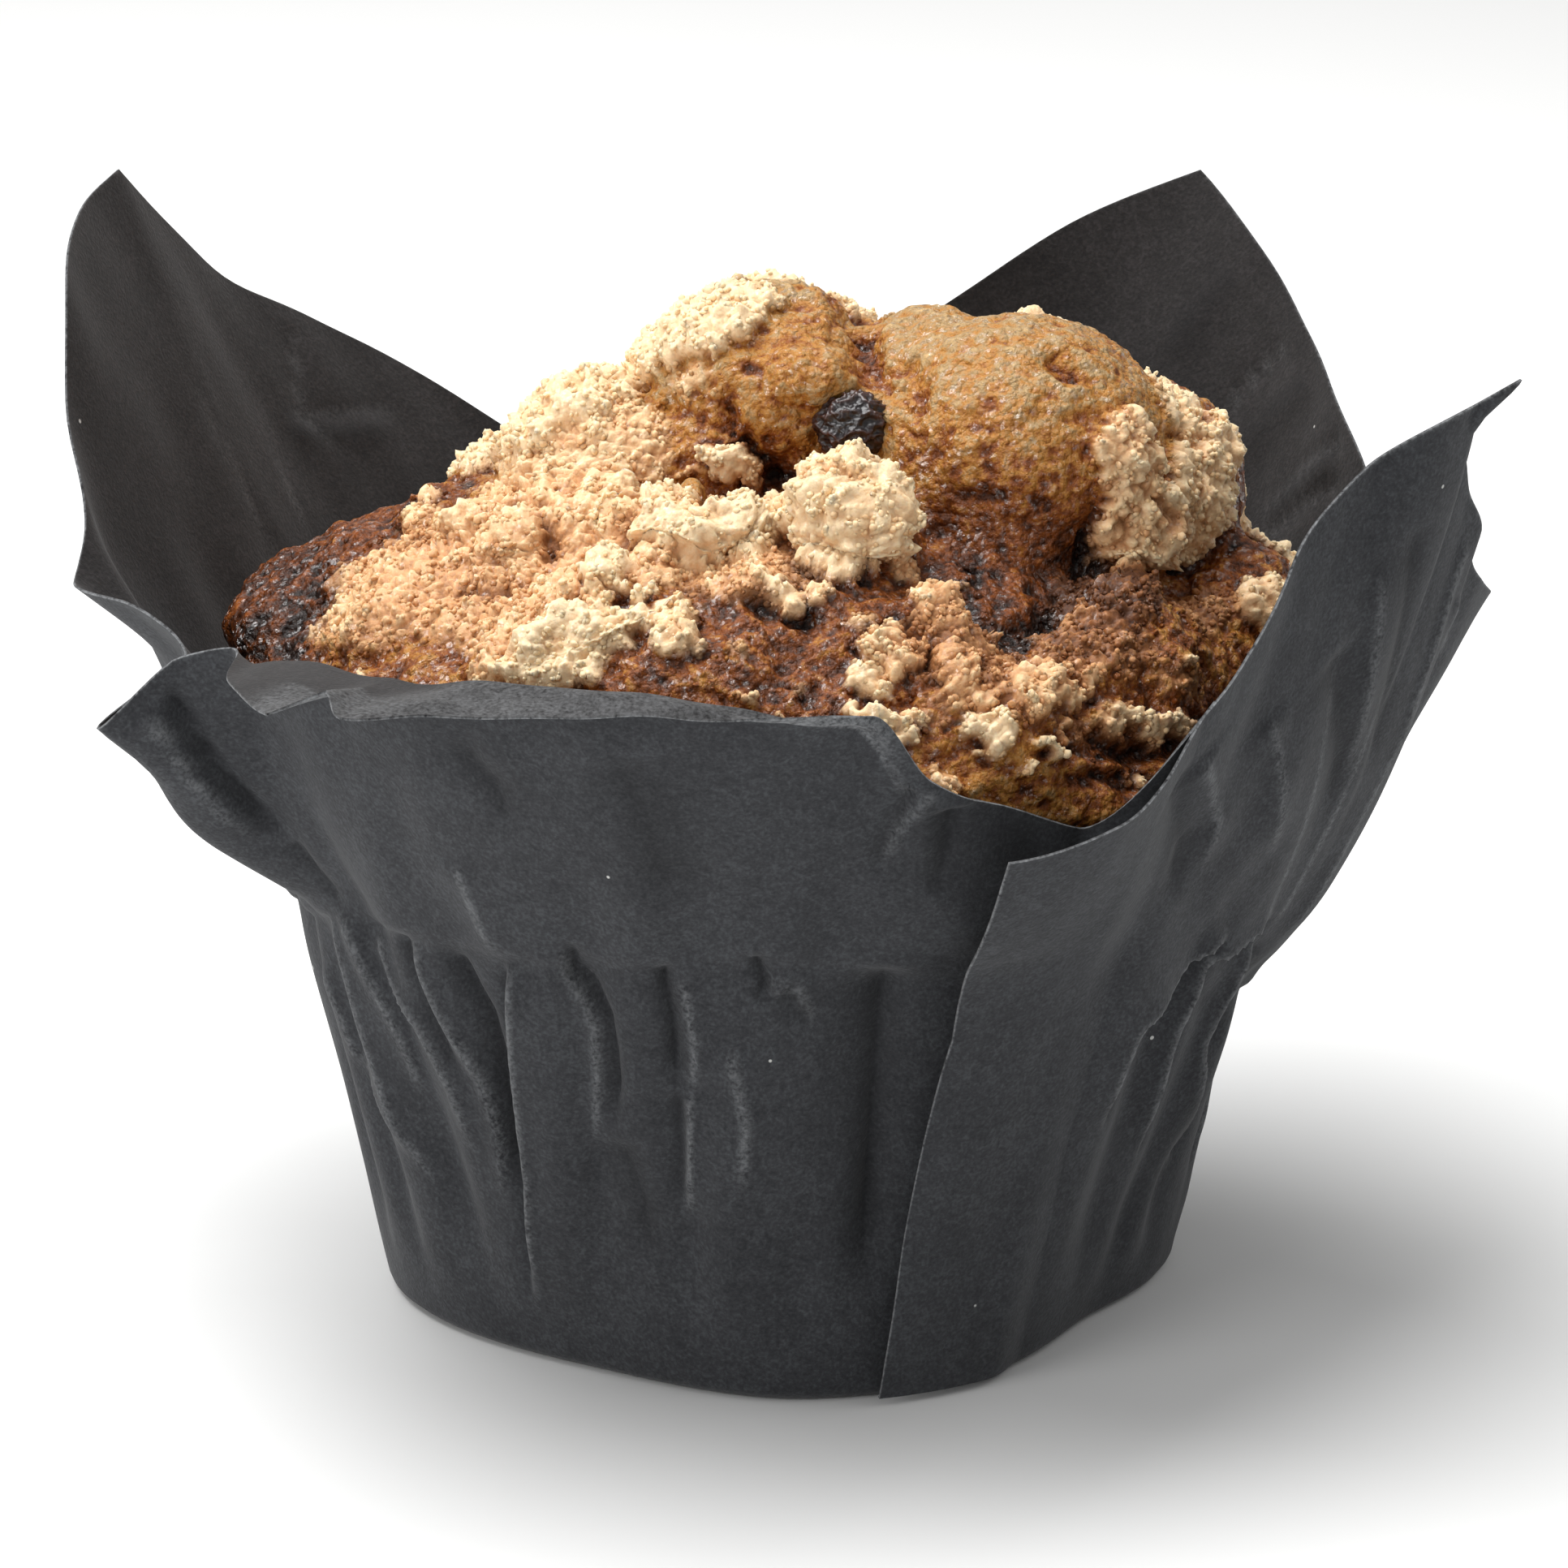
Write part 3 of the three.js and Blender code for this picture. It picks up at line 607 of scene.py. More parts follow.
# %% Fold lines seen in the photograph
# Kind, height in mm, width in mm, pixels from the upper end. A pleat drops on its left or right side.
FOLDS_SEEN = [
    # wall below the left crease
    ("ridge", 0.5, 1.2, (395, 1180), (420, 1240), (440, 1290), (470, 1340), (520, 1420), (545, 1480)),
    ("ridge", 0.6, 1.0, (400, 1120), (432, 1200), (450, 1260), (490, 1370), (530, 1450)),
    ("ridge", 0.7, 1.0, (418, 1120), (452, 1190), (480, 1240), (505, 1290), (530, 1360)),
    ("ridge", 0.8, 1.0, (462, 1140), (495, 1210), (520, 1260), (560, 1340), (585, 1430)),
    ("groove", 0.6, 0.9, (484, 1150), (508, 1205), (534, 1260), (575, 1345)),
    ("ridge", 0.8, 1.0, (500, 1150), (520, 1200), (545, 1250), (590, 1330), (612, 1400), (622, 1500)),
    # groove and the sharp fold beside it
    ("groove", 1.4, 1.0, (533, 1174), (555, 1194), (571, 1225), (590, 1257), (601, 1296), (618, 1362),
     (637, 1488)),
    ("pleat left", 1.6, 3.6, (620, 1180), (628, 1230), (633, 1300), (640, 1380), (650, 1450), (657, 1560),
     (660, 1620)),
    # front wall
    ("groove", 1.2, 0.8, (705, 1155), (708, 1193), (730, 1215), (749, 1251), (756, 1292), (759, 1333),
     (757, 1400)),
    ("ridge", 0.6, 1.2, (688, 1160), (700, 1200), (722, 1228), (738, 1262), (742, 1330), (735, 1420)),
    ("groove", 1.1, 0.7, (816, 1185), (821, 1210), (829, 1243), (832, 1270), (837, 1347)),
    ("ridge", 0.5, 1.6, (840, 1200), (850, 1245), (859, 1292), (856, 1350)),
    ("pleat left", 0.8, 2.5, (845, 1341), (848, 1402), (846, 1500)),
    ("groove", 0.9, 0.7, (928, 1182), (944, 1215), (933, 1243)),
    ("ridge", 0.5, 0.7, (947, 1218), (985, 1221), (1007, 1265)),
    ("groove", 0.7, 0.9, (963, 1223), (991, 1240), (1007, 1265)),
    ("groove", 0.6, 2.0, (760, 1400), (790, 1480), (800, 1560)),
    ("ridge", 0.5, 2.2, (900, 1290), (920, 1380), (915, 1480)),
    # hollow beside the flap
    ("groove", 2.4, 2.4, (1092, 1185), (1085, 1300), (1078, 1420), (1070, 1620)),
    # front petal
    ("groove", 1.4, 0.75, (205, 846), (232, 889), (262, 936), (297, 975), (335, 1012), (362, 1036)),
    ("ridge", 0.8, 2.2, (176, 868), (205, 912), (240, 962), (280, 1000), (325, 1040)),
    ("groove", 0.5, 0.7, (360, 1035), (390, 1075), (425, 1125)),
    ("groove", 0.8, 1.6, (536, 885), (575, 936), (609, 969), (637, 1048)),
    ("ridge", 0.5, 1.8, (560, 1060), (599, 1150), (618, 1178)),
    ("groove", 0.7, 0.8, (1126, 966), (1106, 1016), (1073, 1079)),
    ("ridge", 0.5, 0.9, (1150, 966), (1112, 1016), (1085, 1070)),
    ("groove", 0.8, 1.6, (1173, 990), (1170, 1040), (1150, 1110)),
    ("groove", 0.4, 3.0, (760, 930), (800, 1020), (820, 1120)),
    # right petal
    ("groove", 0.6, 1.8, (1450, 960), (1460, 1040), (1440, 1120)),
    ("ridge", 0.6, 2.0, (1480, 930), (1500, 1010), (1480, 1080)),
    ("ridge", 0.6, 2.4, (1560, 880), (1570, 960), (1560, 1060)),
    ("groove", 0.6, 2.4, (1640, 800), (1650, 900), (1640, 1000)),
    ("ridge", 0.35, 0.6, (1812, 660), (1786, 735), (1766, 800), (1745, 860), (1722, 925), (1690, 1000)),
    ("ridge", 0.3, 0.7, (1798, 740), (1780, 810), (1760, 870), (1738, 940)),
    ("groove", 0.5, 1.6, (1745, 640), (1728, 760), (1704, 870), (1680, 960)),
    ("ridge", 0.4, 1.2, (1700, 700), (1690, 800), (1672, 900), (1650, 980)),
    ("pleat right", 1.3, 3.0, (1512, 1149), (1447, 1189), (1432, 1216), (1395, 1262), (1372, 1318),
     (1350, 1400)),
    ("pleat right", 1.3, 2.4, (1640, 1085), (1564, 1131), (1487, 1186), (1472, 1225), (1450, 1271),
     (1395, 1441)),
    ("pleat right", 1.3, 2.0, (1720, 1045), (1646, 1094), (1548, 1155), (1521, 1210), (1484, 1280),
     (1443, 1444)),
    ("groove", 0.9, 1.0, (1521, 1232), (1500, 1290), (1481, 1378), (1470, 1450)),
    # inside of the left petal
    ("ridge", 0.25, 0.9, (355, 400), (370, 510), (440, 570)),
    ("ridge", 0.25, 0.9, (370, 510), (500, 500)),
    ("groove", 0.3, 1.6, (355, 530), (430, 535), (500, 520)),
    # inside of the back petal
    ("ridge", 0.5, 0.8, (1654, 593), (1610, 622), (1560, 662), (1530, 690)),
    ("ridge", 0.4, 0.7, (1660, 541), (1620, 572), (1570, 624), (1545, 650)),
    ("groove", 0.4, 0.8, (1650, 560), (1600, 600), (1550, 645)),
    ("groove", 0.3, 1.2, (1620, 470), (1570, 510), (1520, 570)),
    ("ridge", 0.3, 1.2, (1590, 420), (1540, 470), (1490, 530)),
    ("groove", 0.25, 1.4, (1520, 330), (1470, 400), (1430, 450)),
]


def grid_triangles(points, start):
    """Triangles of a grid whose first point has the number start."""
    index = start + np.arange(points.shape[0] * points.shape[1]).reshape(points.shape[:2])
    a, b, c, d = index[:-1, :-1], index[:-1, 1:], index[1:, 1:], index[1:, :-1]
    return np.concatenate([np.stack([a, b, c], -1).reshape(-1, 3), np.stack([a, c, d], -1).reshape(-1, 3)])


def seen_on(tree, pixel):
    """Place where the ray through a pixel meets a surface."""
    place, _, _, _ = tree.ray_cast(Vector(eye), Vector(pixel_ray(*pixel)))
    return None if place is None else np.array(place)


def line_on(tree, pixels):
    """Places where the rays through some pixels meet a surface, without the rays that miss it."""
    return np.array([p for p in (seen_on(tree, pixel) for pixel in pixels) if p is not None])


paper_points = np.concatenate([sheet_base.reshape(-1, 3), flap_base.reshape(-1, 3)])
paper_triangles = [grid_triangles(sheet_base, 0), grid_triangles(flap_base, sheet_base.size // 3)]
paper_tree = BVHTree.FromPolygons(paper_points.tolist(), np.concatenate(paper_triangles).tolist())


def beside_line(points, normals, line):
    """Distance from a line, with a sign for its side, and the share of the line that lies before."""
    best = np.full(len(points), np.inf)
    side, share = np.zeros(len(points)), np.zeros(len(points))
    lengths = np.linalg.norm(np.diff(line, axis=0), axis=1)
    done = 0
    for a, b, length in zip(line[:-1], line[1:], lengths):
        direction = (b - a) / max(length, 1e-6)
        s = np.clip((points - a) @ direction, 0, length)
        off = points - a - s[:, None] * direction
        distance = np.linalg.norm(off, axis=1)
        nearer = distance < best
        best[nearer] = distance[nearer]
        right = np.cross(normals, direction)
        side[nearer] = np.sum(right * off, axis=1)[nearer]
        share[nearer] = ((done + s) / lengths.sum())[nearer]
        done += length
    return best * np.where(side < 0, -1, 1), share


def near_line(points, line, reach):
    """Which points lie in a line's box, widened by a reach."""
    return np.all((points > line.min(axis=0) - reach) & (points < line.max(axis=0) + reach), axis=1)


def fold_height(kind, height, width, off, share):
    """How far a fold lifts the paper, how much lighter its crest or edge is, part wear and part painted
    highlight, and how much painted shade it gives.
    """
    taper = smooth_step(share, 0, 0.1) * (1 - smooth_step(share, 0.7, 1))
    far = np.abs(off)
    # light marks a ridge's crest and a pleat's edge, partly as wear and partly as painted highlight; dark is
    # painted shade in grooves and beside pleats.
    if kind == "ridge":
        lift = height * np.exp(-((far / width) ** 1.4))
        light = 0.45 * np.exp(-((far / 0.4) ** 2))
        dark = np.zeros_like(off)
    elif kind == "groove":
        lift = -height * np.exp(-((far / width) ** 1.4))
        light = np.zeros_like(off)
        dark = np.exp(-far / (0.8 * width))
    else:
        beyond = off if kind == "pleat right" else -off
        step = smooth_step(beyond, -0.5, 0.5)
        lift = height * (np.exp(-far / width) * (1 - step) - 0.7 * np.exp(-far / 1.8) * step)
        light = 0.6 * np.exp(-(((beyond + 0.4) / 0.35) ** 2))
        dark = np.exp(-far / 1.1) * step
    return lift * taper, light * taper, dark * taper


seen_lines = []
for kind, height, width, *pixels in FOLDS_SEEN:
    line = line_on(paper_tree, pixels)
    if len(line) > 1:
        seen_lines.append((kind, height, width, line))
print("folds seen:", len(seen_lines), "of", len(FOLDS_SEEN))

# %% [markdown]
# The photograph doesn't show the outside at the back. The stamp presses the same kind of pleats into the
# whole wall, so there they follow a rule: one about every 17 degrees, leaning a little, some deeper than
# others. Slow waves of the paper between the folds keep the large faces from looking like sheet metal, and
# under the crease, where the stamp ends, a ragged ledge sets the wall back.

# %% Folds by rule, waves and the ledge
PLEAT_SPACING = 17
HIDDEN_WALL = (342, 552)  # azimuths
PETAL_MIDDLES = (345, 416, 510)
rule = random.Random(7)

rule_lines = []
azimuth = HIDDEN_WALL[0] + 4
while azimuth < HIDDEN_WALL[1]:
    rises = np.linspace(1.25, rule.uniform(0.1, 0.35), 6)
    drift = np.linspace(0, rule.uniform(-5, 5), 6)
    line = sheet_point(azimuth + drift, rises)
    kind = rule.choice(["pleat left", "pleat right", "groove"])
    rule_lines.append((kind, rule.uniform(0.6, 1.1), rule.uniform(1.2, 2.8), line))
    azimuth += PLEAT_SPACING * rule.uniform(0.6, 1.25)
for middle in PETAL_MIDDLES:
    for _ in range(3):
        turn = rule.uniform(-9, 9)
        line = sheet_point(middle + turn + np.linspace(0, rule.uniform(-6, 6), 5), np.linspace(1.3, 2.5, 5))
        rule_lines.append(("ridge", rule.uniform(0.15, 0.3), rule.uniform(1.5, 2.6), line))
print("folds by rule:", len(rule_lines))

WAVE_DEPTH = 0.45
EAR_AT, EAR_WIDTH = 563, 8  # the pointed ear at the left end of the front petal, which lies flat
LEDGE_DEPTH = 0.7
LEDGE_WIDTH, LEDGE_SHARPNESS = 0.09, 0.03  # below and above the crease
LEDGE_START = (325, 356)  # azimuths over which it sets in
LEDGE_WEAKER = (596, 606)  # azimuths from which it is not so deep


def calm_at_ends(azimuth):
    """1 on most of the sheet, and 0 where its two ends close on each other."""
    start = smooth_step(azimuth, SHEET_START + 1, SHEET_START + 8)
    return start * (1 - smooth_step(azimuth, SHEET_END - 12, SHEET_END - 4))


def waves(azimuth, rise):
    """Slow unevenness of the paper, calm at the foot, at the ear and where the ends close."""
    a = np.radians(azimuth)
    slow = np.sin(7 * a + 2.1 * rise) + np.sin(11 * a - 3.3 * rise + 1)
    slow = slow + 0.8 * np.sin(19 * a + 1.7 * rise + 2)
    fine = 0.35 * np.sin(31 * a + 5 * rise) + 0.3 * np.sin(43 * a - 7 * rise + 0.5)
    calm = smooth_step(rise, 0.05, 0.3) * calm_at_ends(azimuth)
    calm = calm * (1 - np.exp(-(((azimuth - EAR_AT) / EAR_WIDTH) ** 2)))
    return WAVE_DEPTH * calm * (slow + fine) / 2.5


def ledge(azimuth, rise):
    a = np.radians(azimuth)
    ragged = 0.7 + 0.25 * np.sin(23 * a + 1) + 0.25 * np.sin(13 * a + 2) + 0.2 * np.sin(41 * a)
    away = np.abs(rise - 1)
    below, above = np.exp(-((away / LEDGE_WIDTH) ** 1.5)), np.exp(-((away / LEDGE_SHARPNESS) ** 2))
    calm = smooth_step(azimuth, *LEDGE_START) * (1 - 0.45 * smooth_step(azimuth, *LEDGE_WEAKER))
    return -LEDGE_DEPTH * np.where(rise < 1, below, above) * ragged * calm * calm_at_ends(azimuth)


# %% [markdown]
# Every fold, wave and ledge is added along the normals of the smooth sheet. Each point also gets two numbers
# for the finish: how light its paper is, at ridges and cut edges partly wear and partly painted highlight, and
# on the folded top of the front petal, which is turned to the light, painted highlight; and how dark, as
# painted shade in grooves and beside pleats.

# %% Creased paper
ROLL_SHINE = 0.78
ROLL_ENDS = (600, 606, 636, 644)  # azimuths where the folded top sets in, is full, weakens and ends
TURNED_ENDS = (586, 590, 612, 622)  # the same for its turned corner


def creased(base, grid, ring, lines):
    """Paper with its folds, its lighter edges, part wear and part painted highlight, and its painted shade."""
    shape = base.shape[:2]
    normals = grid_normals(base, ring).reshape(-1, 3)
    points = base.reshape(-1, 3)
    azimuth, rise = grid[0].ravel(), grid[1].ravel()
    lift = waves(azimuth, rise) + ledge(azimuth, rise) if ring else np.zeros(len(points))
    light, dark = np.zeros(len(points)), np.zeros(len(points))
    for kind, height, width, line in lines:
        near = near_line(points, line, 3 * width + 3)
        if not near.any():
            continue
        off, share = beside_line(points[near], normals[near], line)
        up, bright, dim = fold_height(kind, height, width, off, share)
        lift[near] += up
        light[near] = np.maximum(light[near], bright)
        dark[near] = np.maximum(dark[near], dim)
    calm_foot = smooth_step(rise, 0.0, 0.12)
    points = (points + (lift * calm_foot)[:, None] * normals).reshape(*shape, 3)
    # Cut edges and the flap's fold line are lighter, partly bare paper and partly painted highlight, and the
    # folded top of the front petal, turned to the light, gets a painted highlight.
    light = np.maximum(light, smooth_step(rise, 2.99, 3))
    if not ring:
        light = np.maximum(light, azimuth == FLAP_FOLD)
    slanted = azimuth + 12 * (rise - 2)
    rolled = smooth_step(slanted, *ROLL_ENDS[:2]) * (1 - smooth_step(azimuth, *ROLL_ENDS[2:]))
    rolled = rolled * smooth_step(rise, 2.02, 2.1)
    turned = smooth_step(azimuth, *TURNED_ENDS[:2]) * (1 - smooth_step(azimuth, *TURNED_ENDS[2:]))
    turned = turned * smooth_step(rise, 2.5, 2.56)
    light = np.maximum(light, ROLL_SHINE * np.maximum(rolled, 1.15 * turned))
    return points, grid_normals(points, ring), light.reshape(shape), dark.reshape(shape)


# %% [markdown]
# The sheet is made in two pieces, which meet in the crease: the pressed wall with its floor, and the petals.
# The flap over its ends is a third. Each piece is a shell, thickened by half to both sides of the middle
# surface and closed along its rims. It keeps the whole sheet's normals, so that no seam shows at the crease.

# %% Paper case
def paper_piece(name, surface, rows, ring, hub=False):
    """Some rows of a creased grid as closed paper of even thickness."""
    points, normals, light, dark = (part[rows] for part in surface)
    index = np.arange(light.size).reshape(light.shape)
    points, normals = points.reshape(-1, 3), normals.reshape(-1, 3)
    light, dark = light.ravel(), dark.ravel()
    if hub:
        points = np.concatenate([points, [[0, 0, CAD_THICKNESS / 2]]])
        normals = np.concatenate([normals, [[0, 0, -1]]])
        light, dark = np.append(light, 0), np.append(dark, 0)
    count = len(points)
    right = np.roll(index, -1, axis=1) if ring else index[:, 1:]
    left = index if ring else index[:, :-1]
    quads = np.stack([left[:-1], right[:-1], right[1:], left[1:]], axis=-1).reshape(-1, 4)
    faces = [*quads.tolist(), *(quads[:, ::-1] + count).tolist()]
    rims = [(left[-1], right[-1])]
    if hub:
        for a, b in zip(left[0].tolist(), right[0].tolist()):
            faces.append([b, a, count - 1])
            faces.append([a + count, b + count, 2 * count - 1])
    else:
        rims.append((right[0], left[0]))
    if not ring:
        rims.append((index[:-1, 0], index[1:, 0]))
        rims.append((index[1:, -1], index[:-1, -1]))
    soft_count = len(faces)
    for starts, ends in rims:
        for a, b in zip(starts.tolist(), ends.tolist()):
            faces.append([b, a, a + count, b + count])
    both = np.concatenate([points + normals * PAPER_THICKNESS / 2, points - normals * PAPER_THICKNESS / 2])
    mesh = bpy.data.meshes.new(name)
    mesh.from_pydata((both * MM).tolist(), [], faces)
    mesh.polygons.foreach_set("use_smooth", np.arange(len(faces)) < soft_count)
    corners = np.array([v for face in faces for v in face])
    face_of = np.repeat(np.arange(len(faces)), [len(face) for face in faces])
    flat = np.empty(3 * len(faces))
    mesh.polygons.foreach_get("normal", flat)
    shading = np.concatenate([normals, -normals])[corners]
    shading = np.where((face_of < soft_count)[:, None], shading, flat.reshape(-1, 3)[face_of])
    mesh.normals_split_custom_set(shading.tolist())
    made = placed(name, mesh)
    point_attribute(made, "fold_wear_and_highlight", np.tile(light, 2))
    point_attribute(made, "fold_painted_shade", np.tile(dark, 2))
    point_attribute(made, "inner_face", np.repeat([0, 1], count))
    print(name, "triangles:", triangle_count(made))
    return made


all_lines = seen_lines + rule_lines
sheet_surface = creased(sheet_base, sheet_grid, True, all_lines)
flap_surface = creased(flap_base, flap_grid, False, all_lines)
crease_row = int(np.argmin(np.abs(sheet_rises - 1)))
paper_wall = paper_piece("paper_wall", sheet_surface, slice(0, crease_row + 1), True, hub=True)
paper_petals = paper_piece("paper_petals", sheet_surface, slice(crease_row, None), True)
paper_flap = paper_piece("paper_flap", flap_surface, slice(None), False)

# %% [markdown]
# The paper is uncoated kraft, dyed charcoal. Its short fibres take the dye unevenly, which gives a fine
# mottle and a few white specks. Ridges and edges are lighter, partly where rubbing took the dye off and partly
# as painted highlight, and grooves are darkened as painted shade. The inner face, which lay against the fat
# dough, is darker and warmer.

# %% Charcoal paper material
charcoal_paper, tree, shader, place = new_material("charcoal_kraft_paper")
FIBRE_LENGTH = 0.9
MOTTLE_SIZE = 6
FINE_SIZE = 0.28
SPECK_SPACING = 6.5
BUMP_DEPTH = 0.08

fibres = node(
    tree,
    "ShaderNodeTexNoise",
    {"Vector": place, "Scale": per(FIBRE_LENGTH), "Detail": 3, "Roughness": 0.65, "Distortion": 1.2},
).outputs["Fac"]
mottle = node(
    tree, "ShaderNodeTexNoise", {"Vector": place, "Scale": per(MOTTLE_SIZE), "Detail": 3}
).outputs["Fac"]
fine = node(
    tree, "ShaderNodeTexNoise", {"Vector": place, "Scale": per(FINE_SIZE), "Detail": 2}
).outputs["Fac"]
weak_mottle = node(tree, "ShaderNodeMath", {0: mottle, 1: 0.4}, operation="MULTIPLY").outputs[0]
mixed = node(tree, "ShaderNodeMath", {0: fibres, 1: weak_mottle}, operation="ADD").outputs[0]
mixed = node(tree, "ShaderNodeMath", {0: mixed, 1: fine}, operation="ADD").outputs[0]
tone = node(tree, "ShaderNodeMapRange", {"Value": mixed, "From Min": 0.9, "From Max": 1.5}).outputs[0]
outer = node(
    tree, "ShaderNodeValToRGB", {"Fac": tone}, stops=[(0, "#27282b"), (1, "#404245"), (0.5, "#323336")]
).outputs["Color"]
inner = node(
    tree, "ShaderNodeValToRGB", {"Fac": tone}, stops=[(0, "#1a1819"), (1, "#302d2e"), (0.5, "#242222")]
).outputs["Color"]
is_inner = node(tree, "ShaderNodeAttribute", attribute_name="inner_face").outputs["Fac"]
body = node(tree, "ShaderNodeMix", {"Factor": is_inner, 6: outer, 7: inner}, data_type="RGBA").outputs[2]
# Lighter ridges and edges: partly rubbed dye, partly painted highlight.
wear_and_highlight = node(tree, "ShaderNodeAttribute", attribute_name="fold_wear_and_highlight").outputs["Fac"]
light_share = node(tree, "ShaderNodeMath", {0: wear_and_highlight, 1: tone}, operation="MULTIPLY").outputs[0]
outer_share = node(tree, "ShaderNodeMapRange", {"Value": is_inner, "To Min": 0.9, "To Max": 0.35}).outputs[0]
light_share = node(tree, "ShaderNodeMath", {0: light_share, 1: outer_share}, operation="MULTIPLY").outputs[0]
worn_and_highlit = node(
    tree, "ShaderNodeMix", {"Factor": light_share, 6: body, 7: linear("#8a8c8e")}, data_type="RGBA"
).outputs[2]
# Painted shade in grooves and beside pleats.
painted_fold_shade = node(tree, "ShaderNodeAttribute", attribute_name="fold_painted_shade").outputs["Fac"]
dark_share = node(tree, "ShaderNodeMath", {0: painted_fold_shade, 1: 0.55}, operation="MULTIPLY").outputs[0]
shaded = node(
    tree, "ShaderNodeMix", {"Factor": dark_share, 6: worn_and_highlit, 7: linear("#151517")}, data_type="RGBA"
).outputs[2]
specks = node(tree, "ShaderNodeTexVoronoi", {"Vector": place, "Scale": per(SPECK_SPACING)})
speck_near = node(
    tree,
    "ShaderNodeMapRange",
    {"Value": specks.outputs["Distance"], "From Min": 0.022, "From Max": 0.03, "To Min": 1, "To Max": 0},
).outputs[0]
speckled = node(
    tree, "ShaderNodeMix", {"Factor": speck_near, 6: shaded, 7: linear("#b9b9b6")}, data_type="RGBA"
).outputs[2]
tree.links.new(speckled, shader.inputs["Base Color"])
shader.inputs["Roughness"].default_value = 0.88
shader.inputs["Specular IOR Level"].default_value = 0.22
shader.inputs["Sheen Weight"].default_value = 0.12
shader.inputs["Sheen Roughness"].default_value = 0.5
rough = node(tree, "ShaderNodeBump", {"Height": mixed, "Strength": 0.5, "Distance": BUMP_DEPTH * MM})
tree.links.new(rough.outputs["Normal"], shader.inputs["Normal"])
for piece in (paper_wall, paper_petals, paper_flap):
    piece.data.materials.append(charcoal_paper)
print("nodes in the paper's finish:", len(tree.nodes))

# %% [markdown]
# The muffin rose over the rim and burst: a peak, a smooth round bulge where dough pushed out last, and a
# swell behind. A copy of the CAD solid gives the body its form. Fine balls for the lobes are joined to it,
# and one voxel skin goes round everything, because only then can dents, pores and crumble be pushed out of
# it. Relaxing the skin melts the lobes into each other.

# %% Body of the muffin
LOBES = [  # centre and half sizes
    ((-0.5, 4, 64.5), (11.8, 12.5, 15.3)),  # peak
    ((5, 10, 58), (27, 24, 14.5)),  # swell behind both
    ((19.3, -4, 67.4), (12.2, 11.6, 12)),  # smooth bulge
    ((28, 2, 63.5), (9, 10, 9.5)),  # beside the bulge
    ((7.5, -1, 61.5), (11, 9.5, 9.6)),  # saddle
    ((-12, 1, 63.5), (9.5, 9.5, 9)),  # left of the peak
]
FINE_LOBES = [  # softer transitions, which the CAD solid leaves out
    ((8, 2, 66), (8, 9, 10.5)),  # skin between the peak and the bulge, round the raisin
    ((17.5, -6, 62), (11.5, 10.5, 9)),  # where the bulge hangs down
    ((10.5, -9, 62), (7, 7, 7)),  # its lower left
    ((10.7, -5, 72.6), (4, 4.2, 3.6)),  # skin over the right of the raisin
    ((3, -4.4, 74.8), (4, 3.6, 2.6)),  # and over its top
    ((36, -4, 55), (5.5, 8, 6.5)),  # right end
    ((-31, 2, 53), (8, 12, 7.8)),  # left end
    ((-35.5, 2, 52.3), (7.6, 11, 6.2)),  # its low edge
    ((12.5, 1, 70.4), (8, 9, 8.3)),  # upper left of the bulge
    ((9, 2, 70), (6, 8, 7.6)),  # and its end over the raisin
]
CRUST_VOXEL = 0.31
TOP_START = 40  # height below which the crust is hidden in the case
CORE_INSET = 0.6
BASE_OVERLAP = 1.5  # how far the plain base reaches up inside the skin
MELTING_ROUNDS = 45


def cad_copy(name):
    """A CAD node's solid as points and triangles, with its loose triangles merged, pulled in a little."""
    solid = bmesh.new()
    solid.from_mesh(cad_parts[name].data)
    bmesh.ops.remove_doubles(solid, verts=solid.verts, dist=1e-6)
    solid.normal_update()
    points = np.array([v.co[:] for v in solid.verts]) / MM
    normals = np.array([v.normal[:] for v in solid.verts])
    faces = np.array([[v.index for v in f.verts] for f in solid.faces])
    solid.free()
    return points - CORE_INSET * normals, faces


def cut_off(obj, place, direction):
    """Removes what lies beyond a plane, and closes the cut with sharp edges."""
    cut = bmesh.new()
    cut.from_mesh(obj.data)
    whole = cut.verts[:] + cut.edges[:] + cut.faces[:]
    made = bmesh.ops.bisect_plane(
        cut, geom=whole, plane_co=Vector(place) * MM, plane_no=direction, clear_outer=True
    )
    rim = [e for e in made["geom_cut"] if isinstance(e, bmesh.types.BMEdge)]
    for edge in rim:
        edge.smooth = False
    bmesh.ops.holes_fill(cut, edges=rim)
    bmesh.ops.triangulate(cut, faces=[f for f in cut.faces if len(f.verts) > 4])
    cut.to_mesh(obj.data)
    cut.free()
    return obj


ball_points, ball_faces = unit_ball(6)
core = cad_copy("muffin")
lobes = [(ball_points * half + centre, ball_faces) for centre, half in LOBES + FINE_LOBES]
muffin_top = remeshed(mesh_object("muffin_top", *joined([core, *lobes])), CRUST_VOXEL)
cut_off(muffin_top, (0, 0, TOP_START), (0, 0, -1))
points, normals, edges = arrays_of(muffin_top)
points = relaxed(points, edges, MELTING_ROUNDS)
move_points(muffin_top, points)
muffin_base = cut_off(mesh_object("muffin_base", *core), (0, 0, TOP_START + BASE_OVERLAP), (0, 0, 1))
print("crust points:", len(points))

# %% [markdown]
# Three kinds of noise shape the surface. Two depend on the place alone. The third draws its directions by a
# random state that would start anew at every run, so that state gets a fixed seed, and all three are always
# the same.

# %% Noise
NOISE_SEED = 5
noise.seed_set(NOISE_SEED)


def noise_field(points, size, octaves, seed):
    """Fractal noise at points, about from -1 to 1, with features of a size in millimetres."""
    shift = Vector((seed * 3.7, seed * 1.3, seed * 2.1))
    return np.array([noise.fractal(Vector(p) / size + shift, 0.9, 2.1, octaves) for p in points.tolist()])


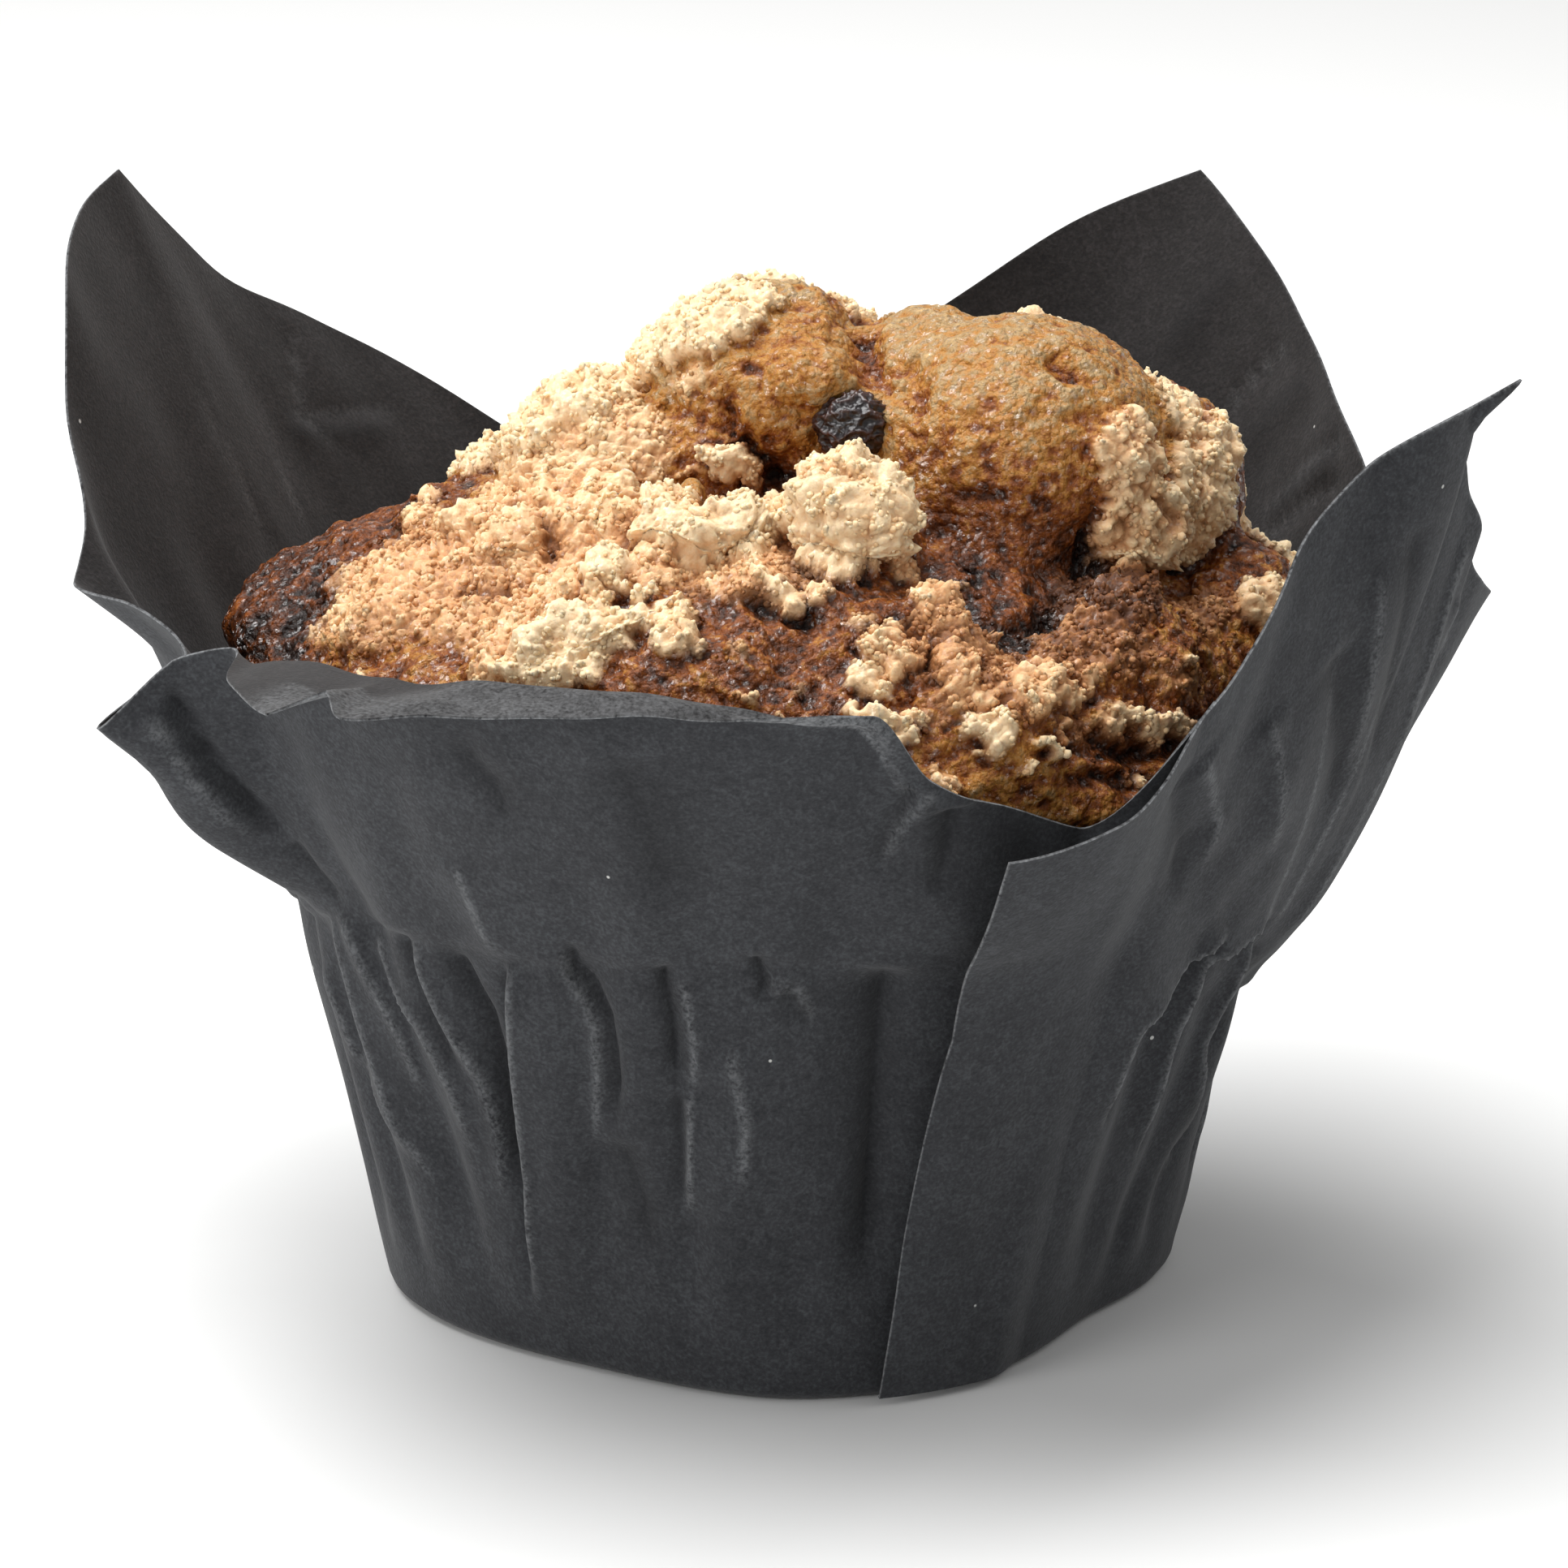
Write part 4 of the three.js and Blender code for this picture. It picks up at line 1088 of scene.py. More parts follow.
def cell_field(points, size, seed):
    """Rounded cells of a size in millimetres: 1 in the middle of a cell and 0 at its border."""
    shift = Vector((seed * 2.9, seed * 4.1, seed * 1.7))
    made = []
    for p in points.tolist():
        distances, _ = noise.voronoi(Vector(p) / size + shift)
        made.append(distances[1] - distances[0])
    return np.clip(np.array(made) * 1.6, 0, 1)


def warp_field(points, size, seed):
    """A direction at each point that turns slowly from place to place."""
    shift = Vector((seed * 1.9, seed * 2.3, seed * 3.1))
    return np.array([noise.noise_vector(Vector(p) / size + shift)[:] for p in points.tolist()])


def surface_tree(obj):
    mesh = obj.data
    mesh.calc_loop_triangles()
    corners = [v.co / MM for v in mesh.vertices]
    return BVHTree.FromPolygons(corners, [t.vertices[:] for t in mesh.loop_triangles])


crust_tree = surface_tree(muffin_top)
normals = arrays_of(muffin_top)[1]
smooth_normals = relaxed(normals, edges, 10)
smooth_normals /= np.linalg.norm(smooth_normals, axis=1, keepdims=True)
rolling = noise_field(points, 5.0, 3, 1)
lumps = cell_field(points, 2.4, 2)
granules = cell_field(points, 0.85, 3)
pores = noise_field(points, 1.2, 2, 4)
warp = warp_field(points, 2.6, 5) * 1.3 + warp_field(points, 1.0, 6) * 0.8
print("warp in mm: on average", round(np.linalg.norm(warp, axis=1).mean(), 2))

# %% [markdown]
# The crumble is flour, butter and sugar rubbed to grains. It lay on the dough as clumps of a few millimetres,
# and melted into the crust between them. So it isn't a separate solid: it is a thickness on top of the crust,
# high in a clump, thin where it melted, with ragged borders. Where the photograph shows a clump its pixel
# says where. Behind, clumps are dropped by a rule, and small ones are strewn over the front.

# %% Clumps of crumble
CLUMPS_SEEN = [  # pixel, half length and half width in pixels, turn in degrees, thickness in mm, toasting
    # the toasting column also carries painted shade, in the clumps under the bulge
    (868, 655, 100, 56, 0, 3.0, 0.08),
    (1045, 645, 72, 82, 0, 3.2, 0.16),
    (960, 640, 60, 40, 0, 2.0, 0.22),
    (715, 800, 112, 44, 20, 2.8, 0.0),
    (752, 632, 48, 60, 0, 2.4, 0.18),
    (905, 572, 36, 30, 0, 2.2, 0.14),
    (748, 712, 34, 34, 0, 2.0, 0.14),
    (690, 728, 44, 50, 0, 1.4, 0.3),
    (832, 776, 34, 46, 0, 1.8, 0.28),
    (1402, 650, 60, 74, 0, 3.0, 0.3),
    (1380, 560, 42, 56, 0, 2.6, 0.34),
    (1475, 600, 58, 96, -10, 2.8, 0.24),
    (1440, 500, 40, 50, 0, 1.6, 0.16),
    (880, 400, 95, 44, 32, 2.0, 0.06),
    (800, 440, 60, 50, 30, 1.8, 0.1),
    (705, 500, 130, 44, 33, 2.0, 0.14),
    (600, 566, 60, 40, 30, 1.8, 0.14),
    (640, 540, 60, 30, 30, 1.6, 0.16),
    (573, 648, 30, 26, 0, 1.6, 0.12),
    (639, 675, 40, 34, 0, 1.2, 0.42),
    (660, 590, 80, 40, 20, 1.4, 0.26),
    (700, 560, 90, 45, 25, 1.0, 0.26),
    (780, 520, 60, 50, 20, 0.9, 0.3),
    (520, 640, 60, 40, 30, 0.9, 0.3),
    (600, 680, 190, 95, 20, 1.1, 0.46),
    (480, 700, 110, 56, 30, 0.9, 0.42),
    (720, 640, 120, 95, 20, 1.1, 0.36),
    (640, 770, 130, 60, 10, 0.9, 0.4),
    (790, 560, 60, 50, 20, 1.0, 0.34),
    (850, 470, 40, 40, 20, 0.8, 0.36),
    (430, 690, 40, 22, 35, 0.8, 0.3),
    (540, 770, 70, 26, 10, 0.5, 0.5),
    (800, 700, 60, 50, 0, 1.0, 0.34),
    (860, 740, 60, 30, 0, 0.8, 0.4),
    (940, 760, 50, 30, 0, 0.5, 0.55),
    # Under the bulge and to its right, the toasting given to the next rows is raised as painted shade.
    (1160, 745, 44, 30, 0, 1.8, 0.42),
    (1110, 700, 40, 40, 0, 1.0, 0.4),
    (1100, 808, 42, 36, 0, 2.2, 0.3),
    (1060, 770, 40, 30, 0, 1.0, 0.35),
    (1174, 830, 34, 44, 0, 1.8, 0.48),
    (1285, 848, 60, 40, 0, 2.2, 0.4),
    (1320, 767, 22, 16, 0, 1.6, 0.5),
    (1350, 800, 95, 60, 0, 1.2, 0.8),
    (1370, 730, 85, 55, 0, 1.3, 1.0),
    (1250, 860, 60, 40, 0, 1.0, 0.55),
    (1170, 790, 100, 70, 0, 0.9, 0.62),
    (1480, 760, 60, 60, 0, 0.9, 0.7),
    (1450, 840, 60, 40, 0, 0.7, 0.55),
    (1075, 893, 44, 22, 0, 1.8, 0.1),
    (1218, 905, 50, 26, 0, 1.8, 0.1),
    (1295, 922, 28, 16, 0, 1.4, 0.16),
    (1417, 890, 80, 20, 0, 1.6, 0.16),
    (1548, 742, 36, 42, 0, 1.8, 0.36),
    (955, 720, 20, 20, 0, 1.4, 0.12),
    (1072, 845, 34, 24, 0, 1.5, 0.2),
    (1150, 870, 40, 24, 0, 1.0, 0.35),
    (415, 765, 50, 22, 35, 1.2, 0.22),
    (900, 800, 40, 30, 0, 0.8, 0.45),
    (1010, 735, 34, 26, 0, 1.2, 0.3),
    (880, 845, 60, 16, 0, 1.0, 0.3),
    (560, 720, 230, 84, 15, 1.0, 0.46),
    (700, 600, 160, 100, 25, 1.0, 0.28),
    (900, 710, 130, 60, 0, 0.9, 0.42),
    (470, 735, 110, 56, 20, 0.9, 0.38),
    (1240, 850, 130, 66, 0, 0.8, 0.6),
    (1380, 895, 130, 36, 0, 0.8, 0.55),
]
HIDDEN_CLUMPS = 74
SCATTERED_CLUMPS = 80
HEART = np.array([0.0, 0, 46])
BULGE_CENTRE, BULGE_HALF = LOBES[2]
crumble_rule = random.Random(11)

clumps = []
for x, y, half_length, half_width, turn, thickness, toast_and_shade in CLUMPS_SEEN:
    centre = seen_on(crust_tree, (x, y))
    if centre is None:
        print("no crust under clump", x, y)
        continue
    c, s = math.cos(math.radians(turn)), math.sin(math.radians(turn))
    axes = np.array([rightwards * c + upwards * s, upwards * c - rightwards * s, towards_camera])
    sizes = np.array([half_length, half_width, 1.5 * max(half_length, half_width)]) / PIXELS_PER_MM
    clumps.append((centre, axes, sizes, thickness, toast_and_shade))
while len(clumps) < len(CLUMPS_SEEN) + HIDDEN_CLUMPS:
    azimuth = math.radians(crumble_rule.uniform(0, 168))
    slope = math.radians(crumble_rule.uniform(4, 82))
    level = math.cos(slope)
    direction = np.array([math.cos(azimuth) * level, math.sin(azimuth) * level, math.sin(slope)])
    place, normal, _, _ = crust_tree.ray_cast(Vector(HEART + 80 * direction), Vector(-direction))
    if place is None or place.z < TOP_START + 6 or normal.dot(Vector(towards_camera)) > -0.3:
        continue
    outwards = np.array(normal)
    along = np.cross(outwards, crumble_rule.choice([(0, 0, 1), (1, 0, 0), (0, 1, 0)]))
    along /= max(np.linalg.norm(along), 1e-6)
    axes = np.array([along, np.cross(outwards, along), outwards])
    long, wide = crumble_rule.uniform(2.5, 7.5), crumble_rule.uniform(2, 4.5)
    toast_and_shade = crumble_rule.uniform(0.06, 0.42)
    thickness = crumble_rule.uniform(0.6, 2.8)
    clumps.append((np.array(place), axes, np.array([long, wide, long]), thickness, toast_and_shade))
while len(clumps) < len(CLUMPS_SEEN) + HIDDEN_CLUMPS + SCATTERED_CLUMPS:
    place = seen_on(crust_tree, (crumble_rule.uniform(440, 1540), crumble_rule.uniform(560, 1000)))
    if place is None or np.linalg.norm((place - BULGE_CENTRE) / BULGE_HALF) < 1.2:
        continue
    axes = np.array([rightwards, upwards, towards_camera])
    size = crumble_rule.uniform(0.7, 2.0)
    sizes = np.array([size, size * crumble_rule.uniform(0.6, 1), 1.5 * size])
    clumps.append((place, axes, sizes, crumble_rule.uniform(0.9, 1.6), crumble_rule.uniform(0.12, 0.5)))

thickness_field = np.zeros(len(points))
crumble = np.zeros(len(points))
toast_and_shade_sum, toast_weight = np.zeros(len(points)), np.full(len(points), 0.02)
warped = points + warp
for centre, axes, sizes, thickness, toast_and_shade in clumps:
    near = np.linalg.norm(warped - centre, axis=1) < 1.1 * sizes.max()
    off = (warped[near] - centre) @ axes.T / sizes
    inside = (1 - np.linalg.norm(off, axis=1)) * sizes[:2].min()
    border = 0.8 + 2.0 * (1 - smooth_step(thickness, 0.8, 1.6))
    share = smooth_step(inside, -0.1, border)
    domed = thickness * share * (0.65 + 0.35 * smooth_step(inside, 0, sizes[:2].min()))
    covered = share * smooth_step(thickness, 0, 1.1)
    thickness_field[near] = np.maximum(thickness_field[near], domed)
    crumble[near] = np.maximum(crumble[near], covered)
    toast_and_shade_sum[near] += share * thickness * toast_and_shade
    toast_weight[near] += share * thickness
toast_and_shade_field = (toast_and_shade_sum + 0.02 * 0.35) / toast_weight
print("clumps:", len(clumps), "crumble covers", round(100 * crumble.mean()), "% of the top")

# %% [markdown]
# The crust's own relief is made of clefts where the lobes tore apart, a rolling unevenness of a few
# millimetres, thin veins where the glaze dried in folds, and blisters and pores under a millimetre. The bulge
# is smooth, with fine level ripples.

# %% Relief of the crust and the crumble
CLEFTS_SEEN = [  # depth, width, pixels
    (3.4, 1.6, (801, 612), (850, 610), (890, 600), (920, 580), (960, 590), (1000, 583), (1036, 556)),
    (2.6, 1.5, (905, 530), (925, 560), (960, 575), (1010, 568)),
    (1.6, 1.2, (1062, 400), (1075, 445), (1092, 480)),
    (2.0, 1.8, (1150, 700), (1190, 750), (1240, 780), (1290, 760), (1345, 700), (1362, 640)),
    (1.8, 1.1, (790, 600), (775, 640), (766, 668), (764, 695)),
    (1.8, 0.8, (632, 618), (650, 624), (668, 634)),
    (1.8, 0.8, (668, 648), (682, 668), (686, 695)),
    (1.6, 1.1, (894, 490), (900, 520), (890, 540)),
    (1.5, 1.3, (1290, 905), (1400, 918), (1480, 915)),
    (1.2, 1.0, (1330, 960), (1400, 962), (1450, 968)),
    (1.2, 1.0, (1470, 880), (1520, 870), (1545, 830)),
    (1.2, 1.2, (560, 735), (600, 742), (640, 730)),
    (1.1, 1.0, (900, 730), (950, 760), (1010, 775)),
    (2.0, 1.2, (1100, 770), (1130, 790), (1150, 830)),
    (1.6, 0.9, (1400, 600), (1420, 640), (1440, 690)),
    (1.3, 1.3, (1108, 445), (1128, 480), (1126, 515)),
    (0.9, 1.1, (1290, 430), (1312, 452), (1334, 462)),
]

cleft = np.zeros(len(points))
cleft_depth = np.zeros(len(points))
for depth, width, *pixels in CLEFTS_SEEN:
    line = line_on(crust_tree, pixels)
    if len(line) < 2:
        continue
    near = near_line(points, line, 4 * width)
    off, share = beside_line(points[near] + 0.4 * warp[near], normals[near], line)
    taper = smooth_step(share, 0, 0.12) * (1 - smooth_step(share, 0.88, 1))
    sunk = np.exp(-((off / width) ** 2)) * (0.4 + 0.6 * taper)
    cleft_depth[near] = np.maximum(cleft_depth[near], depth * sunk)
    cleft[near] = np.maximum(cleft[near], sunk)

on_bulge = np.linalg.norm((points - BULGE_CENTRE) / BULGE_HALF, axis=1)
smooth_skin = (1 - smooth_step(on_bulge, 1.0, 1.12)) * (1 - crumble)
ripples = noise_field(points * (0.45, 0.45, 1.5), 1.5, 2, 7)
veins = 1 - np.abs(noise_field(points * (1, 1, 1.5), 2.6, 3, 31))
bare = 1 - crumble
lift = 0.8 * rolling * (1 - 0.75 * smooth_skin)
lift += bare * (0.3 * (lumps - 0.5) * (1 - smooth_skin) + 0.16 * pores + 0.2 * ripples * smooth_skin)
lift += bare * 0.35 * (veins - 0.7)
lift += thickness_field * (0.84 + 0.26 * lumps)
lift += crumble * (0.66 * (granules - 0.4) + 0.25 * pores)
lift -= cleft_depth * (1 - 0.5 * np.clip(thickness_field / 2, 0, 1))
points = points + lift[:, None] * smooth_normals
move_points(muffin_top, points)
crust_tree = surface_tree(muffin_top)
print("relief from", round(lift.min(), 2), "to", round(lift.max(), 2), "mm")

# %% [markdown]
# The crust isn't one brown. It is golden where it swelled last, deep brown where sugar ran and burnt, and
# almost black in the clefts. Under the bulge and to its right it is darker still, as painted shade. How
# browned and shaded each place is gets stored on the mesh as a number, drawn from a few places seen in the
# photograph, and fades to an even brown at the back.

# %% Browning of the crust, with painted shade under the bulge
BROWNING_SEEN = [  # pixel, reach in mm, browning from 0, pale gold, to 1, nearly black
    (320, 775, 6, 0.9),
    (345, 745, 6, 0.92),
    (390, 700, 5, 0.8),
    (430, 680, 5, 0.76),
    (480, 640, 5, 0.76),
    (520, 612, 4, 0.74),
    (440, 720, 3, 0.55),
    (520, 670, 6, 0.38),
    (600, 690, 6, 0.42),
    (420, 765, 2.5, 0.35),
    (520, 780, 6, 0.6),
    (590, 770, 4, 0.56),
    (640, 640, 4, 0.5),
    (700, 560, 6, 0.25),
    (850, 420, 6, 0.15),
    (930, 365, 4, 0.12),
    (880, 470, 5, 0.48),
    (960, 440, 5, 0.6),
    (1000, 395, 4, 0.5),
    (1030, 450, 4, 0.42),
    (920, 520, 4, 0.5),
    (850, 560, 4, 0.62),
    (1000, 500, 4, 0.36),
    (1130, 420, 5, 0.3),
    (1200, 400, 5, 0.3),
    (1115, 466, 3, 0.22),
    (1308, 449, 3.5, 0.22),
    (1260, 420, 4, 0.36),
    (1350, 440, 4, 0.45),
    (1230, 500, 6, 0.33),
    (1330, 520, 5, 0.31),
    (1150, 560, 5, 0.41),
    (1250, 590, 6, 0.56),
    # the next four rows, under the bulge: browning and painted shade
    (1180, 640, 5, 0.68),
    (1280, 660, 6, 0.86),
    (1230, 720, 5, 0.78),
    (1250, 780, 5, 0.88),
    (1020, 780, 6, 0.7),
    (940, 820, 6, 0.7),
    (1100, 860, 5, 0.7),
    # the next row lies in the shade right of the bulge: browning and painted shade
    (1350, 790, 7, 0.6),
    (1480, 820, 6, 0.58),
    (1560, 680, 5, 0.7),
    (1400, 930, 6, 0.66),
    (1250, 960, 6, 0.48),
    (1130, 930, 5, 0.56),
    (1350, 1000, 6, 0.57),
]
EVEN_BROWN = 0.52

weight = np.full(len(points), 0.02)
browning_and_shade = weight * EVEN_BROWN
for x, y, reach, value in BROWNING_SEEN:
    centre = seen_on(crust_tree, (x, y))
    if centre is None:
        continue
    share = np.exp(-((np.linalg.norm(points - centre, axis=1) / reach) ** 2))
    weight += share
    browning_and_shade += share * value
browning_and_shade /= weight


def hollows(points, rounds, depth):
    """How far each point lies below its surroundings, from -1 to 1."""
    flat = relaxed(points, edges, rounds)
    return np.clip(np.sum((flat - points) * smooth_normals, axis=1) / depth, -1, 1)


# Both numbers rise in hollows and clefts: on the crumble as painted shade, on the crust partly as painted
# shade and partly where sugar ran darker.
shallow, deep = hollows(points, 4, 0.12), hollows(points, 40, 0.7)
patchy = noise_field(points, 2.2, 2, 8)
browning_and_shade += 0.06 * shallow + 0.12 * deep + 0.10 * patchy + 0.2 * cleft + 0.3 * (0.75 - veins)
browning_and_shade = np.clip(browning_and_shade, 0, 1)
toasting_and_shade = np.clip(toast_and_shade_field + 0.05 * shallow + 0.18 * deep + 0.16 * patchy + 0.2 * cleft, 0, 1)
point_attribute(muffin_top, "browning_and_shade", browning_and_shade)
point_attribute(muffin_top, "toasting_and_shade", toasting_and_shade)
point_attribute(muffin_top, "crumble", crumble)
print("browning from", round(browning_and_shade.min(), 2), "to", round(browning_and_shade.max(), 2))

# %% [markdown]
# Loose grains sit on the crumble and round it, and make its borders ragged. They repeat thousands of times,
# so Geometry Nodes scatter them: points spread over the surface by its crumble, a small ball on each, of
# random size, turn and stretch. The tree has named inputs for size and number, and a fixed seed.


# %% Geometry Nodes: grains on a surface
def grain_tree(name):
    """A tree that scatters uneven grains over a mesh."""
    tree = bpy.data.node_groups.new(name, "GeometryNodeTree")
    tree.interface.new_socket("Geometry", in_out="INPUT", socket_type="NodeSocketGeometry")
    for label, value in (("Grains per square metre", 1e6), ("Least radius", 0.0003), ("Most radius", 0.0006)):
        socket = tree.interface.new_socket(label, in_out="INPUT", socket_type="NodeSocketFloat")
        socket.default_value = value
    tree.interface.new_socket("Finish", in_out="INPUT", socket_type="NodeSocketMaterial")
    tree.interface.new_socket("Geometry", in_out="OUTPUT", socket_type="NodeSocketGeometry")
    start = node(tree, "NodeGroupInput")
    share = node(tree, "GeometryNodeInputNamedAttribute", {"Name": "grain_share"}, data_type="FLOAT")
    density = node(
        tree,
        "ShaderNodeMath",
        {0: start.outputs["Grains per square metre"], 1: share.outputs["Attribute"]},
        operation="MULTIPLY",
    )
    scatter = node(
        tree,
        "GeometryNodeDistributePointsOnFaces",
        {"Mesh": start.outputs["Geometry"], "Density": density.outputs[0], "Seed": 5},
    )
    size = node(
        tree,
        "FunctionNodeRandomValue",
        {2: start.outputs["Least radius"], 3: start.outputs["Most radius"], "Seed": 6},
        data_type="FLOAT",
    )
    turn, stretch = (
        node(tree, "FunctionNodeRandomValue", {0: low, 1: high, "Seed": seed}, data_type="FLOAT_VECTOR")
        for low, high, seed in (((0, 0, 0), (6.28, 6.28, 6.28), 7), ((0.6, 0.6, 0.6), (1.4, 1.4, 1.4), 8))
    )
    scale = node(
        tree, "ShaderNodeVectorMath", {0: stretch.outputs[0], "Scale": size.outputs[1]}, operation="SCALE"
    )
    ball = node(tree, "GeometryNodeMeshIcoSphere", {"Radius": 1.0, "Subdivisions": 1})
    grains = node(
        tree,
        "GeometryNodeInstanceOnPoints",
        {
            "Points": scatter.outputs["Points"],
            "Instance": ball.outputs["Mesh"],
            "Rotation": turn.outputs[0],
            "Scale": scale.outputs[0],
        },
    )
    loose = node(tree, "GeometryNodeRealizeInstances", {"Geometry": grains.outputs["Instances"]})
    finish = node(
        tree, "GeometryNodeSetMaterial", {"Geometry": loose.outputs[0], "Material": start.outputs["Finish"]}
    )
    node(tree, "NodeGroupOutput", {"Geometry": finish.outputs[0]})
    return tree


GRAINS_PER_MM2 = 4.6
GRAIN_RADIUS = (0.14, 0.34)
CORNERS = 12  # points of one grain

crust_finish = bpy.data.materials.new("sugar_crust_and_crumble")
ragged = smooth_step(noise_field(points, 2.0, 1, 9), -0.35, 0.3)
border = np.clip(4 * crumble * (1 - crumble), 0, 1)
facing = smooth_step(smooth_normals @ towards_camera, -0.3, 0)
grain_share = np.clip(0.6 * crumble * ragged + 0.5 * border * crumble, 0, 1) * (0.4 + 0.6 * facing)
point_attribute(muffin_top, "grain_share", grain_share)
crumble_grains = placed("crumble_grains", muffin_top.data.copy())
scattering = grain_tree("grains_on_a_surface")
modifier = crumble_grains.modifiers.new("Grains", "NODES")
modifier.node_group = scattering
wanted = {
    "Grains per square metre": GRAINS_PER_MM2 / MM**2,
    "Least radius": GRAIN_RADIUS[0] * MM,
    "Most radius": GRAIN_RADIUS[1] * MM,
    "Finish": crust_finish,
}
for item in scattering.interface.items_tree:
    if item.in_out == "INPUT" and item.name in wanted:
        modifier[item.identifier] = wanted[item.name]
baked(crumble_grains)
crumble_grains.data.shade_smooth()

crust_points = KDTree(len(points))
for i, p in enumerate(points.tolist()):
    crust_points.insert(p, i)
crust_points.balance()
grain_points = arrays_of(crumble_grains)[0]
grain_centres = grain_points.reshape(-1, CORNERS, 3).mean(axis=1)
nearest = np.array([crust_points.find(p)[1] for p in grain_centres.tolist()])
paler = np.clip(toasting_and_shade[nearest] - 0.07, 0, 1)
point_attribute(crumble_grains, "toasting_and_shade", np.repeat(paler, CORNERS))
point_attribute(crumble_grains, "crumble", np.ones(len(grain_points)))
point_attribute(crumble_grains, "browning_and_shade", np.zeros(len(grain_points)))
print("grains:", len(grain_centres))

# %% [markdown]
# The fine skin has more points than one piece should hold, so it is cut across behind the lobes, and its
# front again between the peak and the bulge. The parts come from the same skin, so they meet exactly.

# %% Parts of the crust
BACK_CUT = 9
SIDE_CUT = 8


def part_of(name, *planes):
    """A copy of the skin, cut off beyond planes given by a place and a direction."""
    made = placed(name, muffin_top.data.copy())
    for place, direction in planes:
        cut_off(made, place, direction)
    print(name, "triangles:", triangle_count(made))
    return made


front = ((0, BACK_CUT, 0), (0, 1, 0))
muffin_crust = part_of("muffin_crust", front, ((SIDE_CUT, 0, 0), (1, 0, 0)))
muffin_bulge = part_of("muffin_bulge", front, ((SIDE_CUT, 0, 0), (-1, 0, 0)))
muffin_back = part_of("muffin_back", ((0, BACK_CUT, 0), (0, -1, 0)))
bpy.data.objects.remove(muffin_top)

# %% [markdown]
# One finish serves crust and crumble, because they melt into each other. Baked dough under an egg and sugar
# glaze is glossy, with a bumpy skin that gives many small glints. Crumble is pale and dull: butter makes it a
# little translucent, so light creeps round each grain. The stored numbers say how much of each shows.

# %% Crust and crumble material
crust_finish.use_nodes = True
tree = crust_finish.node_tree
shader = tree.nodes["Principled BSDF"]
place = node(tree, "ShaderNodeTexCoord").outputs["Object"]


# Sizes of the pattern: speckle, crystals of sugar on the crumble, blisters, pores and facets of dried glaze.
SPECKLE, CRYSTAL, BLISTER, PORE, FACET = 0.8, 0.45, 0.55, 0.32, 0.36
BUMP_HEIGHT = 0.3
CRUST_COLOURS = [
    (0, "#d9b27a"),
    (1, "#1a0b04"),
    (0.22, "#ab8d62"),
    (0.42, "#b97f38"),
    (0.62, "#87481a"),
    (0.82, "#50260a"),
]
CRUMBLE_COLOURS = [(0, "#f2d8b0"), (1, "#54301a"), (0.22, "#e8c497"), (0.45, "#d09c6c"), (0.7, "#8f5c34")]

speckle = node(
    tree, "ShaderNodeTexNoise", {"Vector": place, "Scale": per(SPECKLE), "Detail": 5, "Roughness": 0.7}
).outputs["Fac"]
levels = {}
for name, amount in (("browning_and_shade", 0.2), ("toasting_and_shade", 0.12), ("crumble", 0.15)):
    stored = node(tree, "ShaderNodeAttribute", attribute_name=name).outputs["Fac"]
    change = node(
        tree,
        "ShaderNodeMapRange",
        {"Value": speckle, "From Min": 0.3, "From Max": 0.7, "To Min": -amount, "To Max": amount},
    ).outputs[0]
    levels[name] = node(
        tree, "ShaderNodeMath", {0: stored, 1: change}, operation="ADD", use_clamp=True
    ).outputs[0]
crust_colour, crumble_colour = (
    node(tree, "ShaderNodeValToRGB", {"Fac": levels[name]}, stops=stops).outputs["Color"]
    for name, stops in (("browning_and_shade", CRUST_COLOURS), ("toasting_and_shade", CRUMBLE_COLOURS))
)
covered = node(
    tree, "ShaderNodeMapRange", {"Value": levels["crumble"], "From Min": 0.25, "From Max": 0.75}
).outputs[0]
colour = node(
    tree, "ShaderNodeMix", {"Factor": covered, 6: crust_colour, 7: crumble_colour}, data_type="RGBA"
).outputs[2]
tree.links.new(colour, shader.inputs["Base Color"])
print("colours of crust and crumble:", len(CRUST_COLOURS), len(CRUMBLE_COLOURS))

# %% [markdown]
# Roughness, translucence and bumps go from the crust's value to the crumble's, by how much the crumble
# covers. A crystal of sugar here and there in the crumble is smooth.

# %% Gloss, translucence and bumps
crust_gloss = node(
    tree,
    "ShaderNodeMapRange",
    {"Value": speckle, "From Min": 0.3, "From Max": 0.7, "To Min": 0.2, "To Max": 0.45},
).outputs[0]
crystal = node(tree, "ShaderNodeTexVoronoi", {"Vector": place, "Scale": per(CRYSTAL)}).outputs["Color"]
is_crystal = node(tree, "ShaderNodeMath", {0: crystal, 1: 0.82}, operation="GREATER_THAN").outputs[0]
crumble_gloss = node(
    tree, "ShaderNodeMapRange", {"Value": is_crystal, "To Min": 0.5, "To Max": 0.12}
).outputs[0]
roughness = node(
    tree, "ShaderNodeMix", {"Factor": covered, 2: crust_gloss, 3: crumble_gloss}, data_type="FLOAT"
).outputs[0]
tree.links.new(roughness, shader.inputs["Roughness"])
translucence, unevenness, glinting = (
    node(tree, "ShaderNodeMapRange", {"Value": covered, "To Min": on_crust, "To Max": on_crumble}).outputs[0]
    for on_crust, on_crumble in ((0.1, 0.6), (0.9, 0.36), (1.0, 0.45))
)
tree.links.new(translucence, shader.inputs["Subsurface Weight"])
shader.inputs["Subsurface Radius"].default_value = (1.0, 0.92, 0.84)
shader.inputs["Subsurface Scale"].default_value = 0.3 * MM
shader.inputs["Specular IOR Level"].default_value = 0.25
blisters = node(tree, "ShaderNodeTexVoronoi", {"Vector": place, "Scale": per(BLISTER)}).outputs["Distance"]
